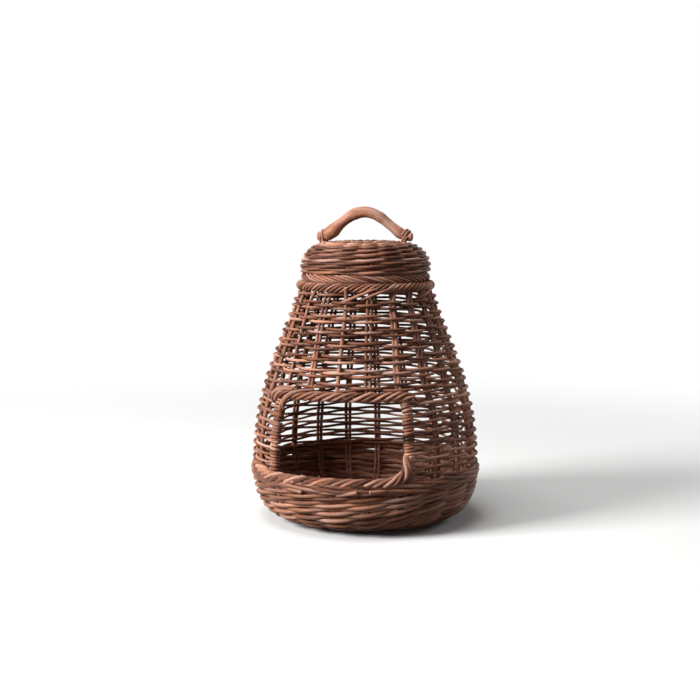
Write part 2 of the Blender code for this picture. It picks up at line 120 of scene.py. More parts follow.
# The lone stake over the window
LONE_STAKE = 2.8 * MM
LONE_LENGTH = 26 * MM
LONE_LIFT = 8.5 * MM
# How the front stakes stray: the posts' angle, how far each is pushed aside, and how far round
# and how much the stakes fan out at the mouth
POST_ANGLE = math.radians(34.3)
PUSHED_APART = math.radians(3.9), math.radians(2.8)
FAN_REACH = math.radians(100)
FANNED_OUT = math.radians(3.2)

# The base: its spokes, how it is crowned, and its weave from rim to centre
BASE_SPOKES = 17
BASE_CROWN = 5 * MM
BASE_PITCH = 4.1 * MM
BASE_START = 1 * MM
BASE_END = 20 * MM
# Sticks in a cross: where their fanned part and the half stick end, short of the centre
CROSS_FAN_END = 30 * MM
HALF_STICK_END = 22 * MM
CROSS_HALF = 12 * MM

# The bowl's weave: where it starts out from the foot, the rows' spacing, how far it lies out
# from the stakes' line, how far its rods sway about that, and how steeply they climb
BOWL_START = 8.5 * MM
BOWL_PITCH = 3.6 * MM
BOWL_SEAT = 2.7 * MM
BOWL_SWAY = 2.2 * MM
BOWL_CLIMB = 29 * MM
# The two bands of three rods at its top
BAND_HEIGHT = 0.8 * MM
BAND_PITCH = 5.6 * MM
BAND_CLIMB = 2.1 * MM
# Ends left standing out under the sill: degrees from the window's middle, height and distance
# from the stakes' line in millimetres
BOWL_STUBS = (
    ((-29, 62, 3), (-22, 61.5, 5.6), (-15.5, 61, 6.6)),
    ((2, 60, 3), (7, 63, 7.0), (11.0, 66, 10.0)),
    ((27, 68, 3), (22, 67, 7.4), (16.6, 66.5, 9.4)),
    ((38, 66, 3), (44, 69, 5.6), (49, 71, 6.2)),
)

# The side's weave: its rows, how they widen upwards, lie in threes and part at the posts, and
# how many half turns the rod takes round a post
SIDE_ROWS = 22
SIDE_WIDENING = 1.15
SIDE_BUNCHING = 0.9 * MM
POST_SPREAD = 2.4 * MM
POST_HALF_TURNS = 5

# Rows above the window lie in threes this far apart, and the weaver climbs on at the back
NECK_ROWS = 21
NECK_ROW = 4.0 * MM
# Rods that stray up into the mouth's border: degrees, height and distance in millimetres
NECK_STRAYS = (
    ((-6, 299, -1), (2, 303, 3.6), (9, 308, 5), (19, 315, 6), (26, 319, 3)),
    ((11, 304, -1), (18, 308, 4.6), (28, 314, 5.6), (36, 318.5, 6), (43, 321, 3)),
    ((62, 304, -1), (70, 307, 4.6), (80, 313, 5.6), (89, 318.5, 6), (96, 321, 3)),
)

# Courses of the window's borders: degrees from the window's middle, height and distance from
# the stakes' line in millimetres, and how far its strands open, as a share
SILL_COURSE = (
    (-62, 84, 0, 0.6),
    (-52, 78, 1, 0.8),
    (-42, 73, 2, 0.9),
    (-36, 72, 2, 1.0),
    (-26, 72.5, 1.5, 1.0),
    (-10, 73.5, 1, 1.0),
    (10, 74, 1, 1.0),
    (24, 75, 1.5, 1.0),
    (30, 82, 2, 1.05),
    (32.6, 92, 2, 1.0),
    (33.4, 108, 1, 0.8),
)
HEAD_COURSE = (
    (-40, 172, -1, 0.7),
    (-38, 176, 2, 0.9),
    (-34, 179.5, 3, 1.0),
    (-26, 181.5, 1.5, 1.0),
    (-8, 182.5, 1, 1.0),
    (10, 183, 1, 1.0),
    (27, 183, 1.5, 1.0),
    (34, 183, 3, 1.05),
    (38.5, 180, 3.5, 1.0),
    (40.5, 172, 1, 0.8),
)
# Rods that sweep up from the left post into the head
HEAD_SWEEPS = (
    ((-33, 156, 1), (-32, 164, 4.5), (-29.5, 174, 7.4), (-24.5, 183.5, 9), (-17, 189, 5)),
    ((-31, 162, 1), (-30, 168, 5.5), (-27, 177.5, 7.8), (-21, 186, 8.4), (-13, 190, 4.5)),
    ((-42, 168, 2), (-41.5, 174, 6), (-38.5, 181.5, 8.2), (-33.5, 186, 7.5), (-27, 188, 4)),
    ((-43, 172, 2), (-42, 179, 6), (-38, 185.5, 7.6), (-32.5, 189, 7), (-26, 190.5, 4)),
)
SWEEP_SHARE = 0.85

# The lid's weave: the rows' spacing, how far it sways and lies out, and how much each pass over
# a stick climbs
LID_START = 1.5 * MM
LID_END = 20 * MM
LID_PITCH = 3.7 * MM
LID_SWAY = 2.1 * MM
LID_TILT = 0.5 * MM
LID_SEAT = 2.8 * MM

# The branch: how far its feet sink into the weave, where its top is, and its knots, each with
# its place along it and its swelling
FOOT_SINK = 2.0 * MM
CROWN_SHIFT = -3 * MM
BELL_SHARE = 0.7
BRANCH_POINTS = 150
BRANCH_KNOTS = ((0.16, 0.10), (0.40, 0.05), (0.66, 0.07), (0.88, 0.12))
BRANCH_KNOT_LENGTH = 0.035
# Each lashing: its name, side, distance from the axis, the branch's radius there, its turns and
# how far it leans out as it rises
LASHINGS = (
    Lashing("left", -1, 60 * MM, 6.6 * MM, 2, 0.10),
    Lashing("right", 1, 57 * MM, 5.8 * MM, 2, 0.60),
)
LASHING_PITCH = 3.4 * MM

# Each lamp: its name, place, size and power
LAMPS = (
    ("key lamp", (-2.0, -1.75, 1.5), 1.2, 145.0),
    ("top lamp", (-0.3, -0.4, 2.6), 1.6, 36.0),
    ("fill lamp", (0.4, -2.6, 1.2), 1.6, 1.0),
    ("edge lamp", (1.9, 1.0, 1.3), 0.9, 9.0),
)
LAMP_AIM = np.array([0.0, 0.0, 0.2])
WORLD_LIGHT = 0.045
# The floor's colour in the light that it throws back, and from where to where it turns white
FLOOR_BOUNCE = (0.07, 0.07, 0.07, 1)
FLOOR_FADE = (0.35, 1.5)
# The floor's profile: its front, where the bend starts, the bend's radius, its top and half width
FLOOR_FRONT = -5.0
BEND_START = 2.6
BEND_RADIUS = 1.2
BACKDROP_TOP = 6.0
FLOOR_HALF_WIDTH = 7.0


def distance(name, description, default):
    """A length property in metres."""
    return FloatProperty(
        name=name, description=description, default=default, min=0, unit="LENGTH", precision=4
    )


def wood_colour(name, description, default):
    """A colour property."""
    return FloatVectorProperty(
        name=name, description=description, default=default, size=3, subtype="COLOR", min=0, max=1
    )


def count(name, description, default):
    """A property that counts rods, rows or turns."""
    return IntProperty(name=name, description=description, default=default, min=1)


class WickerBody(PropertyGroup):
    """The basket's body, measured to the centre line of its stakes."""

    foot_radius: distance("Foot radius", "From the axis to the foot border", 92 * MM)
    stake_tuck: distance("Stake tuck", "How far the stakes reach in past the foot", 10 * MM)
    stake_height: distance("Stake height", "Height of the stakes over the foot", 10.1 * MM)
    belly_radius: distance("Belly radius", "Widest radius of the stakes", 149 * MM)
    belly_height: distance("Belly height", "Height of the widest place", 80 * MM)
    bowl_flare: distance("Bowl flare", "How far the bowl runs out flat", 43 * MM)
    bowl_rise: distance("Bowl rise", "How far the bowl climbs upright", 52 * MM)
    side_drop: distance("Side drop", "How long the side stays upright", 108 * MM)
    neck_spread: distance("Neck spread", "How the side leans at the mouth", 14.5 * MM)
    neck_rise: distance("Neck rise", "How long that lean is", 58 * MM)
    mouth_radius: distance("Mouth radius", "From the axis to the mouth border", 88 * MM)
    mouth_height: distance("Mouth height", "Height of the mouth border's underside", 312 * MM)
    stakes: count("Stakes", "Stake pairs all round", 21)
    window_reach: count("Window reach", "Stake pairs from the window's middle to a post", 2)
    bowl_top: distance("Bowl top", "Height where the dense bowl ends", 66 * MM)
    sill_height: distance("Sill height", "Height of the sill's middle", 76 * MM)
    head_height: distance("Head height", "Height of the head's middle", 183 * MM)


class WickerLid(PropertyGroup):
    """The lid, measured to the centre line of its sticks, and its handle."""

    border_radius: distance("Border radius", "From the axis to the lid's border", 81.5 * MM)
    shoulder_radius: distance("Shoulder radius", "Widest radius of the sticks", 82.5 * MM)
    shoulder_rise: distance("Shoulder rise", "How far the side stands upright", 8 * MM)
    side_climb: distance("Side climb", "How strongly the side goes on upwards", 14 * MM)
    height: distance("Height", "From the sticks' ends to the flat top", 35.5 * MM)
    crown: distance("Crown", "How much the top bulges", 2 * MM)
    top_radius: distance("Top radius", "Radius of the flat top", 50 * MM)
    top_flare: distance("Top flare", "How strongly the top runs on outwards", 20 * MM)
    spokes: count("Spokes", "Sticks' ends all round", 17)
    handle_span: distance("Handle span", "From the axis to a handle's end", 66 * MM)
    handle_foot: distance("Handle foot", "How much of each end lies flat on the lid", 8 * MM)
    handle_rise: distance("Handle rise", "From its feet to its middle", 31.5 * MM)
    butt_radius: distance("Butt radius", "Branch's thick end", 8.4 * MM)
    middle_radius: distance("Middle radius", "Branch's middle", 7.6 * MM)
    tip_radius: distance("Tip radius", "Branch's thin end", 6.8 * MM)


class WickerRods(PropertyGroup):
    """Radii of the rods."""

    stake: distance("Stake", "Radius of a stake", 2.3 * MM)
    base: distance("Base stick", "Radius of a base stick", 2.5 * MM)
    lid_stick: distance("Lid stick", "Radius of a lid stick", 2.0 * MM)
    bowl: distance("Bowl weaver", "Radius of the bowl's thick rods", 2.75 * MM)
    side: distance("Side weaver", "Radius of the side's thin rods", 1.9 * MM)
    lid: distance("Lid weaver", "Radius of the lid's rods", 2.2 * MM)
    foot: distance("Foot strand", "Radius of a foot border's strand", 1.9 * MM)
    sill: distance("Sill strand", "Radius of a sill strand", 2.9 * MM)
    head: distance("Head strand", "Radius of a head strand", 2.3 * MM)
    mouth: distance("Mouth strand", "Radius of a mouth border's strand", 1.7 * MM)
    lid_border: distance("Lid border strand", "Radius of a lid border's strand", 1.75 * MM)
    lashing: distance("Lashing", "Radius of the rods that tie the handle", 1.6 * MM)


class WickerLooks(PropertyGroup):
    """Colours of the smoked willow."""

    shade: wood_colour("Shade", "Darkest bark", (0.018, 0.006, 0.003))
    brown: wood_colour("Brown", "Dark rods", (0.118, 0.043, 0.024))
    warm: wood_colour("Warm", "Most rods", (0.322, 0.147, 0.093))
    pale: wood_colour("Pale", "Rubbed rods", (0.655, 0.392, 0.296))
    core: wood_colour("Core", "Cut ends", (0.420, 0.250, 0.160))
    pinkish: wood_colour("Pinkish", "Tint of some stretches of bark", (0.88, 0.92, 1.0))
    orange: wood_colour("Orange", "Tint of other stretches", (1.0, 0.84, 0.69))
    ground: wood_colour("Ground", "Floor and backdrop", (0.860, 0.860, 0.850))


def settings(context):
    """The sizes of the body, the lid and the rods."""
    scene = context.scene
    return scene.wicker_body, scene.wicker_lid, scene.wicker_rods


class TurnedLine:
    """A line of (radius, height) points that is turned round Z, read by its length.

    Its outer side is on the right of the way it runs. drift, where there is one, gives how far
    the stakes stray round from even spacing at an angle and a height.
    """

    def __init__(self, points, drift=None):
        self.points = np.array(points, float)
        self.drift = drift
        steps = np.diff(self.points, axis=0)
        run = np.hypot(steps[:, 0], steps[:, 1])
        self.lengths = np.concatenate([[0], np.cumsum(run)])
        self.length = float(self.lengths[-1])
        along = np.gradient(self.points, self.lengths, axis=0)
        along /= np.linalg.norm(along, axis=1)[:, None]
        outward = np.stack([along[:, 1], -along[:, 0]], axis=1)
        self.columns = np.hstack([self.points, outward])

    def at(self, length):
        """Radius, height and the outward direction at lengths along the line."""
        return [np.interp(length, self.lengths, column) for column in self.columns.T]

    def length_at_height(self, height):
        """The length at which a line that climbs reaches a height."""
        return np.interp(height, self.points[:, 1], self.lengths)

    def length_at_radius(self, radius):
        """The length at which a line first reaches a radius, running out or in."""
        way = 1 if self.points[1, 0] > self.points[0, 0] else -1
        widest = np.maximum.accumulate(way * self.points[:, 0])
        return float(np.interp(way * radius, widest, self.lengths))

    def levelled(self, length, offset, share=1.0):
        """The lengths at which points moved out by offset stay at the height they had."""
        _, _, out_r, out_z = self.at(length)
        return length - share * offset * out_z / np.maximum(out_r, 0.6)

    def place(self, length, angle, offset=0.0):
        """Points at lengths and angles from the window's middle, moved out by offset, and which
        way is outwards there: x = r sin a, y = -r cos a, z = h."""
        radius, height, out_r, out_z = self.at(length)
        radius, out_r, height, out_z, angle = np.broadcast_arrays(
            radius, out_r, height, out_z, angle
        )
        if self.drift:
            angle = angle + self.drift(angle, height)
        outward = np.stack([out_r * np.sin(angle), -out_r * np.cos(angle), out_z], axis=-1)
        middle = np.stack([radius * np.sin(angle), -radius * np.cos(angle), height], axis=-1)
        return middle + np.broadcast_to(offset, angle.shape)[..., None] * outward, outward


def bezier(points, steps):
    """A cubic curve: (1-t)^3 a + 3(1-t)^2 t b + 3(1-t) t^2 c + t^3 d."""
    t = np.linspace(0, 1, steps + 1)[:, None]
    a, b, c, d = (np.array(p, float) for p in points)
    return (1 - t) ** 3 * a + 3 * (1 - t) ** 2 * t * b + 3 * (1 - t) * t**2 * c + t**3 * d


def through(points, steps):
    """A smooth curve through points: each span is a cubic whose ends aim along the line
    between the points on either side."""
    points = np.array(points, float)
    before = np.vstack([2 * points[0] - points[1], points, 2 * points[-1] - points[-2]])
    t = np.linspace(0, 1, steps, endpoint=False)[:, None, None]
    a, b, c, d = before[:-3], before[1:-2], before[2:-1], before[3:]
    span = 0.5 * (
        2 * b + (c - a) * t + (2 * a - 5 * b + 4 * c - d) * t**2 + (3 * b - a - 3 * c + d) * t**3
    )
    return np.vstack([span.transpose(1, 0, 2).reshape(-1, points.shape[1]), points[-1:]])


def unit(vectors):
    """The vectors of a row at length one."""
    return vectors / np.linalg.norm(vectors, axis=1)[:, None]


def squared_to(guides, ahead):
    """Guides with their part along the path taken off, at length one."""
    return unit(guides - np.sum(guides * ahead, axis=1)[:, None] * ahead)


def smooth(value, low, high):
    """A step from 0 at low to 1 at high, level at both ends: 3 s^2 - 2 s^3."""
    share = np.clip((value - low) / (high - low), 0, 1)
    return share**2 * (3 - 2 * share)


def run_of(path):
    """How far along the path each point lies."""
    steps = np.linalg.norm(np.diff(path, axis=0), axis=1)
    return np.concatenate([[0], np.cumsum(steps)])


def wander(rng, along, longest, amount):
    """A slow wave of halving lengths at random phases, no further than amount from nought."""
    waves = np.zeros(np.shape(along))
    for octave in range(3):
        phase = rng.uniform(0, FULL_TURN)
        waves = waves + np.sin(FULL_TURN * along * 2**octave / longest + phase) / 2**octave
    return amount * waves / 1.75


def tone_of(rng):
    """A rod's own tone: most are middling, a few dark or pale."""
    return float(np.clip(rng.normal(0.54, 0.17), 0.20, 1.0))


def grown_rod(rng, path, outward, radius, tone, taper=(1.06, 0.9), closed=False):
    """A rod as it grew: thinner towards its tip, a little uneven, with buds that leave low
    knots, and its tone drifting along it."""
    along = run_of(path)
    share = along / along[-1]
    knots = np.zeros(len(path))
    for place in rng.uniform(0, along[-1], int(along[-1] / KNOT_SPACING)):
        knots += rng.uniform(*KNOT_SWELL) * np.exp(-(((along - place) / KNOT_LENGTH) ** 2))
    uneven = 1 + wander(rng, along, *THICKNESS_WAVE) + knots
    if closed:
        taper = (1, 1)
        uneven = 1 + knots
    size = radius * uneven * (taper[0] * (1 - share) + taper[1] * share)
    tones = tone + (0 if closed else wander(rng, along, *TONE_WAVE)) - knots * KNOT_SHADE
    return Rod(path, np.broadcast_to(outward, path.shape), size, tones + np.zeros(len(path)), closed)


def tube(rod, sides):
    """Rings of points carried along a rod's path, with their grain, tone and cut values.

    With t the path's direction and n the outward guide squared to it, b = t x n, and ring
    point k is p + r (cos a n + sin a b), where a is k of sides shares of a turn. An open rod
    gets two smaller rings past each end.
    """
    path, outward, radius, tone = rod.path, rod.outward, rod.radius, rod.tone
    cut = np.zeros(len(path))
    if rod.closed:
        ahead = unit(np.roll(path, -1, axis=0) - np.roll(path, 1, axis=0))
    else:
        ahead = unit(np.gradient(path, axis=0))
        reach = END_REACH_SHARES[:, None]
        before = path[0] - ahead[0] * radius[0] * reach
        after = path[-1] + ahead[-1] * radius[-1] * reach[::-1]
        ends = radius[0] * END_SIZE_SHARES, radius[-1] * END_SIZE_SHARES[::-1]
        path = np.vstack([before, path, after])
        radius = np.concatenate([ends[0], radius, ends[1]])
        outward = np.vstack([outward[[0, 0]], outward, outward[[-1, -1]]])
        ahead = np.vstack([ahead[[0, 0]], ahead, ahead[[-1, -1]]])
        tone = np.concatenate([tone[[0, 0]], tone, tone[[-1, -1]]])
        cut = np.concatenate([[1, 0.4], cut, [0.4, 1]])
    upright = squared_to(outward, ahead)
    across = np.cross(ahead, upright)
    turn = np.arange(sides) * FULL_TURN / sides
    cosine, sine = np.cos(turn)[None, :, None], np.sin(turn)[None, :, None]
    rings = path[:, None] + radius[:, None, None] * (cosine * upright[:, None] + sine * across[:, None])
    grain = np.empty(rings.shape)
    grain[..., 0] = run_of(path)[:, None]
    grain[..., 1] = radius[:, None] * np.cos(turn)
    grain[..., 2] = radius[:, None] * np.sin(turn)
    return rings, grain, tone, cut, ahead


def rows_of(*columns):
    """Columns of any shapes that fit each other, as rows of values."""
    return np.concatenate(
        [np.broadcast_to(c, columns[0].shape[:-1] + c.shape[-1:]) for c in columns], axis=-1
    ).reshape(-1, sum(c.shape[-1] for c in columns))


def corners_of(*corners):
    """Faces from arrays of their corners, which fit each other."""
    return np.stack(np.broadcast_arrays(*corners), axis=-1).reshape(-1, len(corners))


def rods_to_mesh(name, rods, sides, seed):
    """One mesh of all the rods, its faces outwards and every rod closed.

    Faces between rings are quads, and the tips are fans. Each rod's texture is cut into
    strips of STRIP_RINGS rings, and the strips stand in a grid that fills the square.
    """
    rng = np.random.default_rng(seed)
    points, quads, quad_uvs, fans, fan_uvs = [], [], [], [], []
    total = strips = 0
    side = np.arange(sides)
    beside = (side + 1) % sides
    edge = 1 / (STRIP_RINGS + 2)
    across = np.stack([side, side + 1, side + 1, side], axis=-1) / sides
    for rod in rods:
        rings, grain, tone, cut, ahead = tube(rod, sides)
        number = len(rings)
        grain = grain + rng.uniform(-5, 5, 3)
        points.append(rows_of(rings, grain, tone[:, None, None], cut[:, None, None]))
        ring = np.arange(number if rod.closed else number - 1)[:, None]
        here, after = total + ring * sides, total + (ring + 1) % number * sides
        quads.append(corners_of(here + side, here + beside, after + beside, after + side))
        low = (1 + ring % STRIP_RINGS) / (STRIP_RINGS + 2)
        high = low + edge
        along = np.stack([low, low, high, high], axis=-1)
        quad_uvs.append(corners_of((strips + ring // STRIP_RINGS)[..., None], along, across))
        if not rod.closed:
            tips = rod.radius[[0, -1]] * TIP_SHARE
            places = np.stack([rod.path[0] - ahead[0] * tips[0], rod.path[-1] + ahead[-1] * tips[1]])
            ends = grain[[0, -1]].mean(axis=1)
            points.append(rows_of(places, ends, tone[[0, -1], None], np.ones((2, 1))))
            tip, last = total + number * sides, total + (number - 1) * sides
            fans.append(corners_of(tip, total + beside, total + side))
            fans.append(corners_of(tip + 1, last + side, last + beside))
            far = high[-1, 0]
            final = strips + (number - 2) // STRIP_RINGS
            for owner, place, tip_place, one, two in (
                (strips, edge, edge * 0.4, side + 1, side),
                (final, far, far + edge * 0.6, side, side + 1),
            ):
                spread = np.stack([side + 0.5, one, two], axis=-1) / sides
                fan_uvs.append(corners_of(owner, np.array([tip_place, place, place]), spread))
        total += number * sides + (0 if rod.closed else 2)
        strips += (len(ring) - 1) // STRIP_RINGS + 1
    points = np.vstack(points)
    quads = np.vstack(quads)
    fans = np.vstack(fans) if fans else np.zeros((0, 3), int)
    loops = np.concatenate([quads.ravel(), fans.ravel()]).astype(np.int32)
    starts = np.concatenate([np.arange(len(quads)) * 4, quads.size + np.arange(len(fans)) * 3])
    mesh = bpy.data.meshes.new(name)
    mesh.vertices.add(len(points))
    mesh.vertices.foreach_set("co", points[:, :3].ravel().astype(np.float32))
    mesh.loops.add(len(loops))
    mesh.loops.foreach_set("vertex_index", loops)
    mesh.polygons.add(len(starts))
    mesh.polygons.foreach_set("loop_start", starts.astype(np.int32))
    mesh.update(calc_edges=True)
    uvs = np.vstack(quad_uvs + fan_uvs)
    spacing = np.linalg.norm(rods[0].path[1] - rods[0].path[0])
    shape = FULL_TURN * float(np.mean(rods[0].radius)) / (spacing * (STRIP_RINGS + 2))
    columns = max(1, math.ceil(math.sqrt(strips * shape)))
    rows = math.ceil(strips / columns)
    place = np.empty((len(uvs), 2), np.float32)
    place[:, 0] = (uvs[:, 0] % columns + uvs[:, 1]) / columns
    place[:, 1] = (uvs[:, 0] // columns + STRIP_MARGIN + (1 - 2 * STRIP_MARGIN) * uvs[:, 2]) / rows
    mesh.uv_layers.new(name="OFBake").uv.foreach_set("vector", place.ravel())
    values = mesh.attributes.new("grain", "FLOAT_VECTOR", "POINT").data
    values.foreach_set("vector", points[:, 3:6].ravel().astype(np.float32))
    for key, column in (("tone", 6), ("cut", 7)):
        values = mesh.attributes.new(key, "FLOAT", "POINT").data
        values.foreach_set("value", points[:, column].astype(np.float32))
    mesh.shade_smooth()
    return mesh


def add_piece(name, rods, sides, finish, body, nodes):
    """A piece of many rods that rides on a body and stands for its plain solids."""
    seed = sum(name.encode())
    piece = bpy.data.objects.new(name, rods_to_mesh(name, rods, sides, seed))
    bpy.context.scene.collection.objects.link(piece)
    piece.data.materials.append(willow(finish))
    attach(piece, body)
    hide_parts(*nodes)


def numbered(stem, last):
    """Names of solids that end in a number, from 1 to last."""
    return [f"{stem}_{number}" for number in range(1, last + 1)]


def add_node(tree, kind, inputs=None, **values):
    """A shader node with its settings, its input values and what is linked to its inputs."""
    made = tree.nodes.new(kind)
    for key, value in values.items():
        setattr(made, key, value)
    for key, value in (inputs or {}).items():
        if isinstance(value, bpy.types.NodeSocket):
            tree.links.new(value, made.inputs[key])
        else:
            made.inputs[key].default_value = value
    return made


def mixed(tree, share, first, second, way="MIX"):
    """Two colours, mixed or multiplied in a share."""
    inputs = {0: share, 6: first, 7: second}
    return add_node(tree, "ShaderNodeMix", inputs, data_type="RGBA", blend_type=way).outputs[2]


def ranged(tree, value, start=(0.0, 1.0), end=(0.0, 1.0), way="LINEAR"):
    """A value carried from one range to another."""
    inputs = dict(zip(("Value", "From Min", "From Max", "To Min", "To Max"), (value, *start, *end)))
    return add_node(tree, "ShaderNodeMapRange", inputs, interpolation_type=way).outputs[0]


def reckoned(tree, operation, *values):
    """One step of arithmetic."""
    inputs = dict(enumerate(values))
    return add_node(tree, "ShaderNodeMath", inputs, operation=operation).outputs[0]


def willow(name):
    """Smoked willow bark: each rod's own tone, streaks along its grain and patches where the
    bark is rubbed or darker, with pale cut ends. Its colours follow the rod's own grain."""
    material = bpy.data.materials.get(name)
    if material:
        return material
    looks = bpy.context.scene.wicker_looks
    finish = FINISHES[name]
    material = bpy.data.materials.new(name)
    material.use_nodes = True
    tree = material.node_tree
    shader = tree.nodes["Principled BSDF"]
    grain = add_node(tree, "ShaderNodeAttribute", attribute_name="grain").outputs["Vector"]
    tone = add_node(tree, "ShaderNodeAttribute", attribute_name="tone").outputs["Fac"]
    cut = add_node(tree, "ShaderNodeAttribute", attribute_name="cut").outputs["Fac"]

    def noise(scales, detail):
        """Noise on the grain, stretched along the rod."""
        stretched = add_node(tree, "ShaderNodeVectorMath", {0: grain, 1: scales}, operation="MULTIPLY")
        inputs = {"Vector": stretched.outputs[0], "Scale": 1.0, "Detail": detail, "Roughness": 0.6}
        return add_node(tree, "ShaderNodeTexNoise", inputs).outputs[0]

    streaks = noise(STREAK_SCALES, 4.0)
    patches = noise(PATCH_SCALES, 3.0)
    value = reckoned(tree, "MULTIPLY_ADD", streaks, finish.streak, tone)
    value = reckoned(tree, "MULTIPLY_ADD", patches, finish.blotch, value)
    value = reckoned(tree, "SUBTRACT", value, (finish.streak + finish.blotch) / 2 - finish.lift)
    ramp = add_node(tree, "ShaderNodeValToRGB", {"Fac": value})
    stops = ramp.color_ramp.elements
    places = ((0.0, looks.shade), (0.30, looks.brown), (0.60, looks.warm), (1.0, looks.pale))
    while len(stops) < len(places):
        stops.new(0.5)
    for stop, (position, colour) in zip(stops, places):
        stop.position = position
        stop.color = (*colour, 1)
    specks = ranged(tree, noise(SPECK_SCALES, 2.0), (0.62, 0.74), (0.0, 0.55))
    colour = mixed(tree, specks, ramp.outputs[0], (*looks.shade, 1))
    stretches = ranged(tree, noise(TINT_SCALES, 2.0), (0.38, 0.62))
    tint = mixed(tree, stretches, (*looks.pinkish, 1), (*looks.orange, 1))
    colour = mixed(tree, 1.0, colour, tint, "MULTIPLY")
    colour = mixed(tree, cut, colour, (*looks.core, 1))
    tree.links.new(colour, shader.inputs["Base Color"])
    tree.links.new(ranged(tree, streaks, end=finish.rough), shader.inputs["Roughness"])
    shader.inputs["Specular IOR Level"].default_value = 0.18
    height = reckoned(tree, "MULTIPLY_ADD", patches, 0.8, streaks)
    bump = add_node(tree, "ShaderNodeBump", {"Height": height, "Strength": 0.35, "Distance": 0.5 * MM})
    tree.links.new(bump.outputs[0], shader.inputs["Normal"])
    return material


def stake_drift(angle, height):
    """How far the stakes near the window stray from even spacing, in radians: the posts are
    pushed apart beside the window, and the front stakes fan out towards the mouth."""
    angle = (angle + math.pi) % FULL_TURN - math.pi
    share = angle / POST_ANGLE
    pushed = share * np.exp(0.5 * (1 - share**2)) * np.where(angle > 0, *PUSHED_APART)
    beside = smooth(height, 50 * MM, 85 * MM) * (1 - smooth(height, 165 * MM, 198 * MM))
    fanned = np.where(np.abs(angle) < FAN_REACH, np.sin(math.pi * angle / FAN_REACH), 0)
    return pushed * beside + FANNED_OUT * fanned * smooth(height, 200 * MM, 300 * MM)


def body_line(body):
    """The stakes' line: out over the foot, up the bowl and the side, and on past the mouth."""
    foot = (body.foot_radius, body.stake_height)
    belly = (body.belly_radius, body.belly_height)
    mouth = (body.mouth_radius, body.mouth_height)
    flare = (body.foot_radius + body.bowl_flare, body.stake_height)
    rise = (body.belly_radius, body.belly_height - body.bowl_rise)
    upright = (body.belly_radius, body.belly_height + body.side_drop)
    neck = (body.mouth_radius + body.neck_spread, body.mouth_height - body.neck_rise)
    bowl = bezier([foot, flare, rise, belly], 40)
    side = bezier([belly, upright, neck, mouth], 60)
    lean = body.neck_spread / body.neck_rise
    beyond = 14 * MM
    tucked = [(body.foot_radius - body.stake_tuck, body.stake_height)]
    past = [(body.mouth_radius - lean * beyond, body.mouth_height + beyond)]
    return TurnedLine(np.vstack([tucked, bowl, side[1:], past]), stake_drift)


def base_line(body, rods):
    """The base sticks' line: from over the stakes' tucked ends in to the crowned centre."""
    rim = body.stake_height + rods.stake + rods.base
    shares = np.linspace(1, 0, 20)
    return TurnedLine([(body.foot_radius * s, rim + BASE_CROWN * (1 - s**2)) for s in shares])


def lid_line(lid):
    """The lid sticks' line: from the lid's border up round the shoulder, in to the centre."""
    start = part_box("lid_border_strand_1")[1][2]
    shoulder = (lid.shoulder_radius, start + lid.shoulder_rise)
    top = start + lid.height
    upright = (lid.shoulder_radius, shoulder[1] + lid.side_climb)
    flare = (lid.top_radius + lid.top_flare, top)
    rounding = bezier([shoulder, upright, flare, (lid.top_radius, top)], 24)
    crown = [(lid.top_radius * s, top + lid.crown * (1 - s**2)) for s in np.linspace(0.9, 0, 8)]
    return TurnedLine(np.vstack([[(lid.border_radius, start)], rounding, crown]))


def sway(spokes, flat=0.9):
    """How far a weaver swings out: cos, with its peaks flattened by tanh."""
    return np.tanh(flat * np.cos(math.pi * spokes)) / math.tanh(flat)


def cut_weaver(rng, line, length, angle, offset, breaks, passes, radius, lap):
    """Rods that follow one after another along a weaver's course.

    breaks are the places where an end can hide behind a spoke, passes is the least and most
    of them that a rod runs on for, and lap is how many points two rods lie side by side.
    """
    cuts = [0]
    place = 0
    while True:
        place += int(rng.integers(*passes))
        if place >= len(breaks) - passes[0] // 2:
            break
        cuts.append(int(breaks[place]))
    cuts.append(len(length) - 1)
    rods = []
    for first, last in zip(cuts[:-1], cuts[1:]):
        low = max(first - lap, 0)
        high = min(last + lap, len(length) - 1)
        index = np.arange(low, high + 1)
        fade = LAP_FADE * lap
        fade_in = np.clip(1 - (index - low) / fade, 0, 1) ** 2 * (first > 0)
        fade_out = np.clip(1 - (high - index) / fade, 0, 1) ** 2 * (high > last)
        shift = radius * LAP_SHIFT * (fade_out - fade_in)
        inset = radius * LAP_SHIFT * (fade_in + fade_out)
        path, outward = line.place(length[index] + shift, angle[index], offset[index] - inset)
        rods.append(grown_rod(rng, path, outward, radius, tone_of(rng)))
    return rods


def rope(rng, centre, out, up, strands, spread, radius, lay, closed=False):
    """Strands twisted round a centre line: strand j lies at the turn j of strands shares + the
    length over the lay. spread is how far its centre is from the line, out and up are square
    to the line, and lay is the length of one turn, left-handed below nought."""
    along = run_of(centre)
    rods = []
    for strand in range(strands):
        turn = FULL_TURN * (strand / strands + along / lay)
        aim = np.cos(turn)[:, None] * out + np.sin(turn)[:, None] * up
        reach = spread
        if not closed:
            reach = spread * (1 + wander(rng, along, *ROPE_WAVE))
        path = centre + np.broadcast_to(reach, along.shape)[:, None] * aim
        # each pass over the outside has a tone of its own, changed where it is hidden
        number = np.floor(turn / FULL_TURN + 0.5).astype(int)
        number -= number.min()
        if closed:
            number %= max(1, round(abs(along[-1] / lay)))
        tones = np.array([tone_of(rng) for _ in range(number.max() + 1)])
        made = grown_rod(rng, path, aim, radius, 0.0, closed=closed)
        rods.append(made._replace(tone=made.tone * 0.5 + tones[number]))
    return rods


